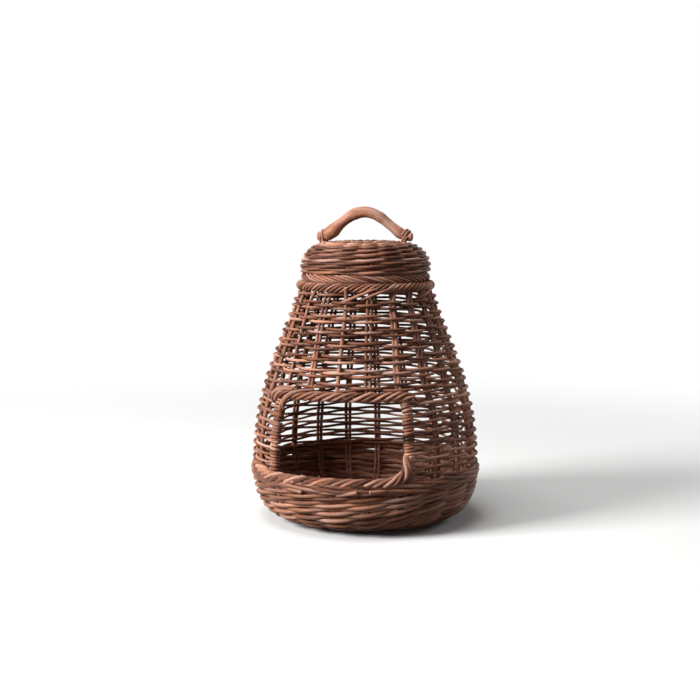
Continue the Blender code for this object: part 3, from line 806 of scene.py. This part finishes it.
def ring_rope(rng, radius, height, strands, spread, strand_radius, turns, points):
    """A level rope border round Z that starts at the back and closes on itself after a whole
    number of turns."""
    angle = np.linspace(0, FULL_TURN, points, endpoint=False) + math.pi
    out = np.stack([np.sin(angle), -np.cos(angle), 0 * angle], axis=1)
    up = np.broadcast_to((0.0, 0.0, 1.0), out.shape)
    centre = radius * out + height * up
    round_length = float(run_of(centre)[-1]) * points / (points - 1)
    return rope(rng, centre, out, up, strands, spread, strand_radius, round_length / turns, True)


def stake_rods(rng, line, angle, low, high, radius, pitch=STAKE_PITCH, lean=0.0, depth=0.0):
    """A pair of stakes from one length to another, pitch apart round and depth apart outwards,
    leaning over at the top."""
    rods = []
    for side in (-0.5, 0.5):
        length = np.linspace(low, high, max(8, int((high - low) / STAKE_RING)))
        spacing = side * pitch + wander(rng, length, *STAKE_WAVE)
        bend = np.clip((length - (high - LEAN_LENGTH)) / LEAN_LENGTH, 0, 1) ** 2 * lean
        around = line.at(length)[0]
        offset = side * depth + wander(rng, length, *STAKE_DEPTH_WAVE)
        path, outward = line.place(length, angle + (spacing + bend) / around, offset)
        tone = 0.5 * tone_of(rng) + 0.32
        rods.append(grown_rod(rng, path, outward, radius, tone, taper=(1.08, 0.9)))
    return rods


def sticks_in_a_cross(rng, line, spokes, radius):
    """Two bundles of sticks that cross at the centre and fan out to the rim, and one half
    stick more, so that the spokes come out odd."""
    rods = []
    step = FULL_TURN / spokes
    per_bundle = (spokes - 1) // 4
    pitch = 2 * radius + 0.1 * MM
    middle = (per_bundle - 1) / 2
    for bundle in range(2):
        bearing = (bundle * per_bundle + middle) * step
        onward = np.array([math.sin(bearing), -math.cos(bearing), 0.0])
        beside = np.array([math.cos(bearing), math.sin(bearing), 0.0])
        for index in range(per_bundle):
            halves = []
            for way, end in (
                (1, bundle * per_bundle + index),
                (-1, (bundle + 2) * per_bundle + per_bundle - 1 - index),
            ):
                path, _ = line.place(np.linspace(0, line.length - CROSS_FAN_END, 34), end * step)
                inner = onward * way * CROSS_HALF + beside * (index - middle) * -pitch
                inner[2] = line.points[-1, 1] + (0.5 - bundle) * pitch
                halves.append((path, inner))
            (one, start), (two, finish) = halves
            course = np.vstack([one, [start], [(start + finish) / 2], [finish], two[::-1]])
            course = through(course[::3] if len(course) % 3 else course, 3)
            up = np.array([0.0, 0.0, 1.0]) + course * np.array([4.0, 4.0, 0.0])
            rods.append(grown_rod(rng, course, up, radius, tone_of(rng)))
    length = np.linspace(0, line.length - HALF_STICK_END, 30)
    path, outward = line.place(length, (spokes - 1) * step)
    rods.append(grown_rod(rng, path, outward, radius, tone_of(rng)))
    return rods


def disc_weave(rng, line, spokes, low, high, pitch, radius, reach, dense, seat=0.0, tilt=0.0):
    """One weaver that starts at the back and runs in round odd spokes, from one length of the
    line to another, with dense points to a spoke. seat is how far the weave lies out from the
    spokes' line, and tilt is how far each pass over a spoke climbs."""
    turns = (high - low) / pitch
    spoke = np.linspace(0, turns * spokes, int(turns * spokes * dense))
    length = low + pitch * spoke / spokes + wander(rng, spoke, *DISC_WAVE)
    offset = seat + reach * sway(spoke)
    length = line.levelled(length, offset - seat, 0.9) + tilt * np.sin(math.pi * spoke)
    angle = (spoke + spokes // 2) * FULL_TURN / spokes
    breaks = np.flatnonzero(np.diff(np.sign(np.gradient(offset))) > 0)
    return cut_weaver(rng, line, length, angle, offset, breaks, (6, 12), radius, int(dense * 0.4))


def wall_rod(rng, line, course, radius, tone):
    """A single rod on a course along the wall."""
    points = through(course, 14)
    length = line.length_at_height(points[:, 1] * MM)
    path, outward = line.place(length, np.radians(points[:, 0]), points[:, 2] * MM)
    return grown_rod(rng, path, outward, radius, tone, taper=(1.0, 1.0))


def wall_rope(rng, line, course, strands, spread, radius, lay):
    """A rope that follows a course along the wall."""
    points = through(course, 26)
    length = line.length_at_height(points[:, 1] * MM)
    centre, out = line.place(length, np.radians(points[:, 0]), points[:, 2] * MM)
    along = run_of(centre)
    even = np.linspace(0, along[-1], int(along[-1] / (1.6 * MM)))
    centre = np.stack([np.interp(even, along, column) for column in centre.T], axis=1)
    out = np.stack([np.interp(even, along, column) for column in out.T], axis=1)
    opened = np.interp(even, along, points[:, 3])
    ahead = unit(np.gradient(centre, axis=0))
    out = squared_to(out, ahead)
    return rope(rng, centre, out, np.cross(out, ahead), strands, spread * opened, radius, lay)


class WICKER_OT_base(Operator):
    """Makes the foot border, the base sticks and the weave round them"""

    bl_idname = "wicker.base"
    bl_label = "Base"

    def execute(self, context):
        body, _, rods = settings(context)
        bark = "weaver willow"
        rng = np.random.default_rng(11)
        strand = rods.foot
        foot = ring_rope(rng, body.foot_radius, 2.25 * strand, 3, 1.1 * strand, strand, 12, 480)
        add_piece("foot_border", foot, 10, bark, "basket", ["foot_ring"])
        line = base_line(body, rods)
        sticks = sticks_in_a_cross(rng, line, BASE_SPOKES, rods.base)
        add_piece("base_sticks", sticks, 10, bark, "basket", numbered("base_stick", 4))
        end = line.length - BASE_END
        reach = rods.base + rods.stake
        rows = disc_weave(rng, line, BASE_SPOKES, BASE_START, end, BASE_PITCH, rods.stake, reach, 9)
        add_piece("base_weave", rows, 8, bark, "basket", ["base_weaver"])
        return {"FINISHED"}


class WICKER_OT_stakes(Operator):
    """Makes the stake pairs all round, the window's posts and the short pairs at the window"""

    bl_idname = "wicker.stakes"
    bl_label = "Stakes"

    def execute(self, context):
        body, _, rods = settings(context)
        line = body_line(body)
        step = FULL_TURN / body.stakes
        top = line.length_at_height(body.mouth_height + 5 * MM)
        sill = line.length_at_height(body.sill_height)
        head = line.length_at_height(body.head_height)
        rng = np.random.default_rng(23)
        stakes, posts, short = [], [], []
        for number in range(-body.window_reach, body.stakes - body.window_reach):
            angle = step * number
            lean = rng.uniform(5, 9) * MM
            if abs(number) > body.window_reach:
                stakes += stake_rods(rng, line, angle, 0, top, rods.stake, lean=lean)
            elif abs(number) == body.window_reach:
                posts += stake_rods(
                    rng, line, angle, 0, top, rods.stake, POST_PITCH, lean, POST_DEPTH
                )
            else:
                short += stake_rods(rng, line, angle, 0, sill, rods.stake)
                if number:
                    short += stake_rods(rng, line, angle, head, top, rods.stake, lean=lean)
        length = np.linspace(head, line.length_at_height(body.mouth_height + 5.5 * MM), 50)
        lift = np.clip((length - length[-1]) / LONE_LENGTH + 1, 0, 1) ** 2 * LONE_LIFT
        path, outward = line.place(length, 0.0, lift)
        short.append(grown_rod(rng, path, outward, LONE_STAKE, 0.62, taper=(1.06, 0.95)))
        for name, made, nodes in (
            ("stakes", stakes, [f"stake_pair_{number:02d}" for number in range(1, 17)]),
            ("window_posts", posts, ["window_post_left", "window_post_right"]),
            ("window_stakes", short, numbered("lower_stake_pair", 3) + numbered("upper_stake_pair", 3)),
        ):
            add_piece(name, made, 10, "stake willow", "basket", nodes)
        return {"FINISHED"}


class WICKER_OT_bowl(Operator):
    """Weaves the dense bowl, each thick rod climbing a row at every stake, and its top edge"""

    bl_idname = "wicker.bowl"
    bl_label = "Bowl Weave"

    def execute(self, context):
        body, _, rods = settings(context)
        line = body_line(body)
        rng = np.random.default_rng(37)
        low = line.length_at_radius(body.foot_radius + BOWL_START)
        high = line.length_at_height(body.bowl_top - 3 * MM)
        rows = round((high - low) / BOWL_PITCH)
        pitch = (high - low) / rows
        step = FULL_TURN / body.stakes
        made = []
        for number in range(body.stakes):
            last = rows + rng.uniform(-0.1, 0.45)
            spoke = np.linspace(-4, last, int((last + 4) * 13))
            angle = (spoke + number) * step
            length = low + pitch * spoke + wander(rng, spoke, *BOWL_WAVE)
            length += BOWL_CLIMB * self.climb(angle) * (1 - smooth(spoke / rows, 0.4, 1))
            offset = BOWL_SEAT + BOWL_SWAY * sway(spoke) + wander(rng, spoke, *BOWL_DEPTH_WAVE)
            first = np.flatnonzero(length > low - rng.uniform(1.5, 3.5) * MM)[0]
            path, outward = line.place(length[first:], angle[first:], offset[first:])
            tone = tone_of(rng) - 0.02
            made.append(grown_rod(rng, path, outward, rods.bowl, tone, taper=(1.2, 0.88)))
        made += self.top_edge(rng, line, body, rods)
        for course in BOWL_STUBS:
            made.append(wall_rod(rng, line, course, rods.bowl, 0.62))
        nodes = numbered("bowl_weaver", 3)
        add_piece("bowl_weave", made, 8, "weaver willow", "basket", nodes)
        return {"FINISHED"}

    def climb(self, angle):
        """How the rods climb more steeply right of the window's middle, and sink back slowly
        over the rest of the way round: a smooth step less an even slope."""
        angle = (angle + math.pi) % FULL_TURN - math.pi
        return smooth(angle, 0.2, 1.05) - (angle + math.pi) / FULL_TURN

    def top_edge(self, rng, line, body, rods):
        """Two bands of three rods at the bowl's top: each rod passes outside two stakes, climbs
        over the others and passes inside one."""
        made = []
        spoke = np.linspace(0, body.stakes, body.stakes * 18, endpoint=False)
        angle = spoke * FULL_TURN / body.stakes + math.pi
        for band in range(2):
            middle = line.length_at_height(body.bowl_top + BAND_HEIGHT + BAND_PITCH * band)
            for third in range(3):
                turn = FULL_TURN * (spoke - third) / 3
                offset = BOWL_SEAT + 1.5 * BOWL_SWAY * np.tanh(1.6 * (0.3 - np.cos(turn)))
                length = middle + BAND_CLIMB * np.sin(turn + 0.5)
                path, outward = line.place(length, angle, offset)
                made.append(grown_rod(rng, path, outward, rods.bowl, tone_of(rng), closed=True))
        return made


class WICKER_OT_side(Operator):
    """Weaves the open side, whose rods turn back round the window's posts"""

    bl_idname = "wicker.side"
    bl_label = "Side Weave"

    def execute(self, context):
        body, _, rods = settings(context)
        line = body_line(body)
        rng = np.random.default_rng(41)
        low = line.length_at_height(body.bowl_top + 6 * MM)
        high = line.length_at_height(body.head_height + 3 * MM)
        starts = low + (high - low) * np.linspace(0, 1, SIDE_ROWS) ** SIDE_WIDENING
        starts += SIDE_BUNCHING * (1 - np.arange(SIDE_ROWS) % 3)
        length, spoke, offset, breaks = self.course(rng, body, line, starts, rods)
        angle = spoke * FULL_TURN / body.stakes
        made = cut_weaver(rng, line, length, angle, offset, breaks, (9, 15), rods.side, 9)
        nodes = numbered("side_weaver", 2)
        add_piece("side_weave", made, 8, "weaver willow", "basket", nodes)
        return {"FINISHED"}

    def course(self, rng, body, line, starts, rods):
        """The whole course of the weaver: rows between the posts, and two and a half turns
        round a post between two rows."""
        per_spoke = 20
        reach = rods.stake + rods.side + CLEARANCE
        first, last = body.window_reach, body.stakes - body.window_reach
        step = FULL_TURN / body.stakes
        lengths, spokes, offsets, breaks = [], [], [], []
        total = 0
        for row, start in enumerate(starts):
            going_right = row % 2 == 0
            sign = 1.0 if going_right else -1.0
            spoke = np.linspace(first, last, (last - first) * per_spoke + 1)
            offset = sign * reach * sway(spoke, 1.0) + wander(rng, spoke, *SIDE_DEPTH_WAVE)
            drift = wander(rng, spoke, *SIDE_WAVE)
            edge = np.minimum(spoke - first, last - spoke)
            length = start + drift * np.clip(edge, 0, 1)
            end_lift = np.where((spoke > (first + last) / 2) == going_right, -1.0, 1.0)
            length = length + end_lift * np.clip(1 - edge, 0, 1) * POST_SPREAD
            at_stake = np.abs(spoke - np.round(spoke)) < 0.2 / per_spoke
            hidden = np.flatnonzero(at_stake & (offset < -0.6 * reach) & (edge > 1.5))
            if not going_right:
                spoke, offset, length = spoke[::-1], offset[::-1], length[::-1]
                hidden = len(spoke) - 1 - hidden[::-1]
            lengths.append(length)
            spokes.append(spoke)
            offsets.append(offset)
            breaks.append(total + hidden)
            total += len(spoke)
            if row == len(starts) - 1:
                break
            turn = np.linspace(0, POST_HALF_TURNS * math.pi, 66)[1:-1]
            share = turn / (POST_HALF_TURNS * math.pi)
            radius = line.at(start)[0]
            beyond = POST_PITCH / 2 + rods.stake + rods.side
            bulge = np.sign(offset[-1]) * reach * (1 + 0.2 * np.sin(share * math.pi))
            lengths.append(length[-1] + share * (starts[row + 1] + POST_SPREAD - length[-1]))
            spokes.append(spoke[-1] + sign * beyond * np.sin(turn) / (radius * step))
            offsets.append(bulge * np.cos(turn))
            total += len(turn)
        return [np.concatenate(parts) for parts in (lengths, spokes, offsets, breaks)]


class WICKER_OT_neck(Operator):
    """Weaves the wall above the window, all round up to the mouth"""

    bl_idname = "wicker.neck"
    bl_label = "Neck Weave"

    def execute(self, context):
        body, _, rods = settings(context)
        line = body_line(body)
        rng = np.random.default_rng(53)
        low = line.length_at_height(body.head_height + 8 * MM)
        high = line.length_at_height(body.mouth_height - 2 * MM)
        per_spoke = 18
        spokes = NECK_ROWS * body.stakes
        spoke = np.linspace(0, spokes, spokes * per_spoke + 1)
        turns = spoke / body.stakes
        bunch = np.floor(turns / 3)
        steps = bunch + smooth(turns - 3 * bunch, 2.3, 2.7)
        pitch = (high - low) / NECK_ROWS
        bunched = (NECK_ROW - pitch) * (turns - 3 * steps)
        front = np.clip(0.6 + 0.8 * np.cos(FULL_TURN * turns), 0.15, 1)
        length = low + pitch * turns + front * bunched
        length += wander(rng, spoke, *NECK_WAVE)
        reach = rods.stake + rods.side + CLEARANCE
        offset = reach * sway(spoke) + wander(rng, spoke, *NECK_DEPTH_WAVE)
        length = line.levelled(length, offset)
        angle = spoke * FULL_TURN / body.stakes
        breaks = np.arange(1, spokes, 2) * per_spoke
        made = cut_weaver(rng, line, length, angle, offset, breaks, (9, 17), rods.side, 8)
        for course in NECK_STRAYS:
            made.append(wall_rod(rng, line, course, rods.side * 1.05, 0.66))
        nodes = numbered("upper_weaver", 3)
        add_piece("neck_weave", made, 8, "weaver willow", "basket", nodes)
        return {"FINISHED"}


class WICKER_OT_window(Operator):
    """Twists the window's sill and head and runs their ends into the wall"""

    bl_idname = "wicker.window"
    bl_label = "Window Borders"

    def execute(self, context):
        body, _, rods = settings(context)
        bark = "border willow"
        line = body_line(body)
        rng = np.random.default_rng(61)
        sill = wall_rope(rng, line, SILL_COURSE, 5, 4.9 * MM, rods.sill, 66 * MM)
        add_piece("sill_border", sill, 12, bark, "basket", numbered("sill_strand", 2))
        head = wall_rope(rng, line, HEAD_COURSE, 5, 4.7 * MM, rods.head, 62 * MM)
        for course in HEAD_SWEEPS:
            head.append(wall_rod(rng, line, course, SWEEP_SHARE * rods.head, 0.62))
        add_piece("head_border", head, 12, bark, "basket", numbered("head_strand", 2))
        return {"FINISHED"}


class WICKER_OT_mouth(Operator):
    """Rolls the mouth border"""

    bl_idname = "wicker.mouth"
    bl_label = "Mouth Border"

    def execute(self, context):
        body, _, rods = settings(context)
        low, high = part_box("mouth_strand_1")
        height = (low[2] + high[2]) / 2
        rng = np.random.default_rng(71)
        made = ring_rope(rng, body.mouth_radius, height, 6, 4.6 * MM, rods.mouth, 12, 700)
        made += ring_rope(rng, body.mouth_radius, height, 1, 0.3 * MM, 2.6 * MM, 3, 240)
        nodes = numbered("mouth_strand", 2)
        add_piece("mouth_border", made, 10, "border willow", "basket", nodes)
        return {"FINISHED"}


class WICKER_OT_lid(Operator):
    """Makes the lid: its border, its collar, its sticks and its weave"""

    bl_idname = "wicker.lid"
    bl_label = "Lid"

    def execute(self, context):
        _, lid, rods = settings(context)
        rng = np.random.default_rng(83)
        low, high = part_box("lid_border_strand_1")
        height = (low[2] + high[2]) / 2
        made = ring_rope(rng, lid.border_radius, height, 7, 4.5 * MM, rods.lid_border, -6, 700)
        made += ring_rope(rng, lid.border_radius, height, 1, 0.3 * MM, 3.0 * MM, 3, 240)
        nodes = numbered("lid_border_strand", 2)
        add_piece("lid_border", made, 10, "border willow", "lid", nodes)
        low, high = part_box("lid_collar")
        height = (low[2] + high[2]) / 2
        made = ring_rope(rng, high[0] - 2.9 * MM, height, 3, 1.35 * MM, 1.25 * MM, 14, 420)
        add_piece("lid_ring", made, 8, "border willow", "lid", ["lid_collar"])
        line = lid_line(lid)
        sticks = sticks_in_a_cross(rng, line, lid.spokes, rods.lid_stick)
        nodes = numbered("lid_stick", 4)
        add_piece("lid_sticks", sticks, 10, "weaver willow", "lid", nodes)
        end = line.length - LID_END
        weave = (LID_PITCH, rods.lid, LID_SWAY, 14, LID_SEAT, LID_TILT)
        rows = disc_weave(rng, line, lid.spokes, LID_START, end, *weave)
        nodes = ["lid_side_weaver", "lid_crown_weaver"]
        add_piece("lid_weave", rows, 8, "weaver willow", "lid", nodes)
        return {"FINISHED"}


def handle_course(lid):
    """The branch's line along X: height is foot + rise ((1 + cos(pi x / half span)) / 2)^0.7
    between two feet that lie flat."""
    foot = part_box("handle")[0][2] + lid.butt_radius - FOOT_SINK
    x = np.linspace(-lid.handle_span, lid.handle_span - 1.5 * MM, BRANCH_POINTS)
    reach = lid.handle_span - lid.handle_foot
    away = np.where(x < CROWN_SHIFT, CROWN_SHIFT - x, x - CROWN_SHIFT)
    share = np.minimum(away / np.where(x < CROWN_SHIFT, reach + CROWN_SHIFT, reach - CROWN_SHIFT), 1)
    bell = ((1 + np.cos(math.pi * share)) / 2) ** BELL_SHARE
    return np.stack([x, 0 * x, foot + (lid.handle_rise + FOOT_SINK) * bell], axis=1)


class WICKER_OT_handle(Operator):
    """Bends the branch that is the lid's handle"""

    bl_idname = "wicker.handle"
    bl_label = "Handle"

    def execute(self, context):
        _, lid, _ = settings(context)
        rng = np.random.default_rng(97)
        path = handle_course(lid)
        along = run_of(path)
        path[:, 1] += wander(rng, along, *BRANCH_WAVE)
        path[:, 2] += wander(rng, along, *BRANCH_RISE_WAVE)
        guide = np.broadcast_to((0.0, 1.0, 0.0), path.shape)
        radius = self.thickness(rng, lid, along, path[:, 0])
        branch = Rod(path, guide, radius, np.full(len(path), 0.60), False)
        add_piece("branch_handle", [branch], 28, "branch bark", "lid", ["handle"])
        return {"FINISHED"}

    def thickness(self, rng, lid, along, x):
        """The branch's radius: from butt to middle to tip, with knots, thinner ends, a swelling
        over the left foot and thinner legs, each a bell exp(-s^2) or a straight step."""
        share = np.linspace(-1, 1, len(x))
        end = np.where(share < 0, lid.butt_radius, lid.tip_radius)
        radius = lid.middle_radius + (end - lid.middle_radius) * np.abs(share)
        radius = radius * (1 + wander(rng, along, *BRANCH_THICKNESS_WAVE))
        for place, swell in BRANCH_KNOTS:
            radius += swell * radius * np.exp(-(((along / along[-1] - place) / BRANCH_KNOT_LENGTH) ** 2))
        radius *= 1 - 0.26 * np.clip((-54 * MM - x) / (5 * MM), 0, 1)
        radius *= 1 - 0.16 * np.clip((x - 51 * MM) / (5 * MM), 0, 1)
        radius *= 1 + 0.10 * np.exp(-(((x + 47 * MM) / (9 * MM)) ** 2))
        return radius * (1 - 0.11 * np.exp(-(((np.abs(x) - 31 * MM) / (13 * MM)) ** 2)))


class WICKER_OT_lashings(Operator):
    """Winds the rods that tie the handle's feet to the lid"""

    bl_idname = "wicker.lashings"
    bl_label = "Handle Lashings"

    def execute(self, context):
        _, lid, rods = settings(context)
        line = lid_line(lid)
        course = handle_course(lid)
        rng = np.random.default_rng(101)
        for tie in LASHINGS:
            path = self.winding(line, course, rods, tie)
            guide = np.broadcast_to((1.0, 0.0, 0.0), path.shape)
            made = [grown_rod(rng, path, guide, rods.lashing, 0.62)]
            nodes = [f"handle_lashing_{tie.name}"]
            add_piece(f"lashing_{tie.name}", made, 10, "weaver willow", "lid", nodes)
        return {"FINISHED"}

    def winding(self, line, course, rods, tie):
        """A rod's turns round the branch: x = place + lean rise, y = r sin a, and z = the
        branch's height + rise, where rise is r cos a over the branch and reaches down to the
        lid below it."""
        turn = np.linspace(-0.25, tie.turns - 0.25, int(tie.turns * 44))
        middle = tie.side * (tie.place + LASHING_PITCH * (turn - tie.turns / 2))
        across = tie.branch + rods.lashing
        foot = float(line.at(line.length_at_radius(tie.place))[1])
        over = np.cos(FULL_TURN * turn)
        height = np.interp(middle, course[:, 0], course[:, 2])
        slope = np.interp(middle, course[:, 0], np.gradient(course[:, 2], course[:, 0]))
        rise = np.where(over > 0, across * over, np.maximum(height - foot, across) * over)
        steep = np.where(over > 0, np.hypot(1, slope * (1 - tie.lean)), 1)
        x = middle + tie.side * tie.lean * rise
        return np.stack([x, across * np.sin(FULL_TURN * turn), height + rise * steep], axis=1)


class WICKER_OT_stage(Operator):
    """Sets up the floor, the backdrop, the lamps and the camera"""

    bl_idname = "wicker.stage"
    bl_label = "Stage"

    def execute(self, context):
        self.floor(context.scene)
        self.world(context.scene)
        for lamp in LAMPS:
            self.lamp(context.scene, *lamp)
        self.camera(context.scene)
        return {"FINISHED"}

    def floor(self, scene):
        """A wide floor that bends up into a backdrop behind the object: a profile of
        (distance, height) carried along X."""
        bend = np.linspace(0, math.pi / 2, 24)
        bent = np.stack([BEND_START + BEND_RADIUS * np.sin(bend), BEND_RADIUS * (1 - np.cos(bend))], axis=1)
        profile = np.vstack([[(FLOOR_FRONT, 0.0)], bent, [(BEND_START + BEND_RADIUS, BACKDROP_TOP)]])
        rows = len(profile)
        grid = np.empty((2, rows, 3))
        grid[..., 0] = np.array([-FLOOR_HALF_WIDTH, FLOOR_HALF_WIDTH])[:, None]
        grid[..., 1:] = profile[None]
        number = np.arange(rows - 1)
        faces = np.stack([number + 1, number + rows + 1, number + rows, number], axis=1)
        mesh = bpy.data.meshes.new("floor")
        mesh.from_pydata(grid.reshape(-1, 3), [], faces.tolist())
        mesh.shade_smooth()
        mesh.materials.append(self.paper(scene.wicker_looks.ground))
        floor = bpy.data.objects.new("floor", mesh)
        scene.collection.objects.link(floor)

    def seen(self, tree):
        """One for camera, glossy and transmission rays, and nought for light."""
        path = add_node(tree, "ShaderNodeLightPath")
        total = path.outputs["Is Camera Ray"]
        for name in ("Is Glossy Ray", "Is Transmission Ray"):
            total = reckoned(tree, "ADD", total, path.outputs[name])
        return total

    def paper(self, colour):
        """Pale paper that takes the object's shadow near it and shows plain white far off."""
        material = bpy.data.materials.new("paper floor")
        material.use_nodes = True
        tree = material.node_tree
        shader = tree.nodes["Principled BSDF"]
        seen = self.seen(tree)
        tree.links.new(mixed(tree, seen, FLOOR_BOUNCE, (*colour, 1)), shader.inputs["Base Color"])
        shader.inputs["Roughness"].default_value = 0.9
        shader.inputs["Specular IOR Level"].default_value = 0.2
        place = add_node(tree, "ShaderNodeTexCoord").outputs["Object"]
        away = add_node(tree, "ShaderNodeVectorMath", {0: place}, operation="LENGTH").outputs["Value"]
        far = ranged(tree, away, FLOOR_FADE, way="SMOOTHSTEP")
        share = add_node(tree, "ShaderNodeMath", {0: far, 1: seen}, operation="MULTIPLY", use_clamp=True)
        white = add_node(tree, "ShaderNodeEmission", {"Color": (1.0, 1.0, 1.0, 1)})
        both = {0: share.outputs[0], 1: shader.outputs[0], 2: white.outputs[0]}
        surface = add_node(tree, "ShaderNodeMixShader", both).outputs[0]
        tree.links.new(surface, tree.nodes["Material Output"].inputs["Surface"])
        return material

    def world(self, scene):
        """A soft dim room that shows white to the camera and in reflections."""
        world = bpy.data.worlds.new("room")
        scene.world = world
        world.use_nodes = True
        tree = world.node_tree
        background = tree.nodes["Background"]
        background.inputs["Color"].default_value = (1, 1, 1, 1)
        strength = ranged(tree, self.seen(tree), end=(WORLD_LIGHT, 1.0))
        tree.links.new(strength, background.inputs["Strength"])

    def lamp(self, scene, name, place, size, power):
        """A square soft lamp that looks at the object's middle."""
        data = bpy.data.lights.new(name, "AREA")
        data.energy = power
        data.size = size
        lamp = bpy.data.objects.new(name, data)
        lamp.location = place
        aim = LAMP_AIM - np.array(place)
        pitch = math.atan2(math.hypot(aim[0], aim[1]), -aim[2])
        lamp.rotation_euler = (pitch, 0.0, math.atan2(-aim[0], aim[1]))
        scene.collection.objects.link(lamp)

    def camera(self, scene):
        """The camera, far off and a little above, with the window turned away from it."""
        data = bpy.data.cameras.new("camera")
        data.lens = 64.18
        data.sensor_width = 36.0
        camera = bpy.data.objects.new("camera", data)
        turn = math.radians(15.7)
        away, height, pitch, swing = 1.7, 0.42, 0.1119, 0.0124
        camera.location = (away * math.sin(turn), -away * math.cos(turn), height)
        camera.rotation_euler = (math.pi / 2 - pitch, 0.0, turn + swing)
        scene.collection.objects.link(camera)
        scene.camera = camera
        scene.view_settings.view_transform = "Standard"


MAKERS = (
    WICKER_OT_base,
    WICKER_OT_stakes,
    WICKER_OT_bowl,
    WICKER_OT_side,
    WICKER_OT_neck,
    WICKER_OT_window,
    WICKER_OT_mouth,
    WICKER_OT_lid,
    WICKER_OT_handle,
    WICKER_OT_lashings,
    WICKER_OT_stage,
)
GROUPS = (
    ("wicker_body", WickerBody),
    ("wicker_lid", WickerLid),
    ("wicker_rods", WickerRods),
    ("wicker_looks", WickerLooks),
)


class WICKER_PT_panel(Panel):
    """Sizes, colours and the steps that make the basket"""

    bl_idname = "WICKER_PT_panel"
    bl_label = "Onion Basket"
    bl_space_type = "VIEW_3D"
    bl_region_type = "UI"
    bl_category = "Basket"

    def draw(self, context):
        for key, group in GROUPS:
            box = self.layout.box()
            for name in group.__annotations__:
                box.prop(getattr(context.scene, key), name)
        for maker in MAKERS:
            self.layout.operator(maker.bl_idname)


def register():
    for key, group in GROUPS:
        bpy.utils.register_class(group)
        setattr(bpy.types.Scene, key, PointerProperty(type=group))
    for maker in (*MAKERS, WICKER_PT_panel):
        bpy.utils.register_class(maker)


def unregister():
    for maker in (WICKER_PT_panel, *reversed(MAKERS)):
        bpy.utils.unregister_class(maker)
    for key, group in reversed(GROUPS):
        delattr(bpy.types.Scene, key)
        bpy.utils.unregister_class(group)


def main():
    register()
    bpy.ops.wicker.base()
    bpy.ops.wicker.stakes()
    bpy.ops.wicker.bowl()
    bpy.ops.wicker.side()
    bpy.ops.wicker.neck()
    bpy.ops.wicker.window()
    bpy.ops.wicker.mouth()
    bpy.ops.wicker.lid()
    bpy.ops.wicker.handle()
    bpy.ops.wicker.lashings()
    bpy.ops.wicker.stage()


if __name__ == "__main__":
    main()
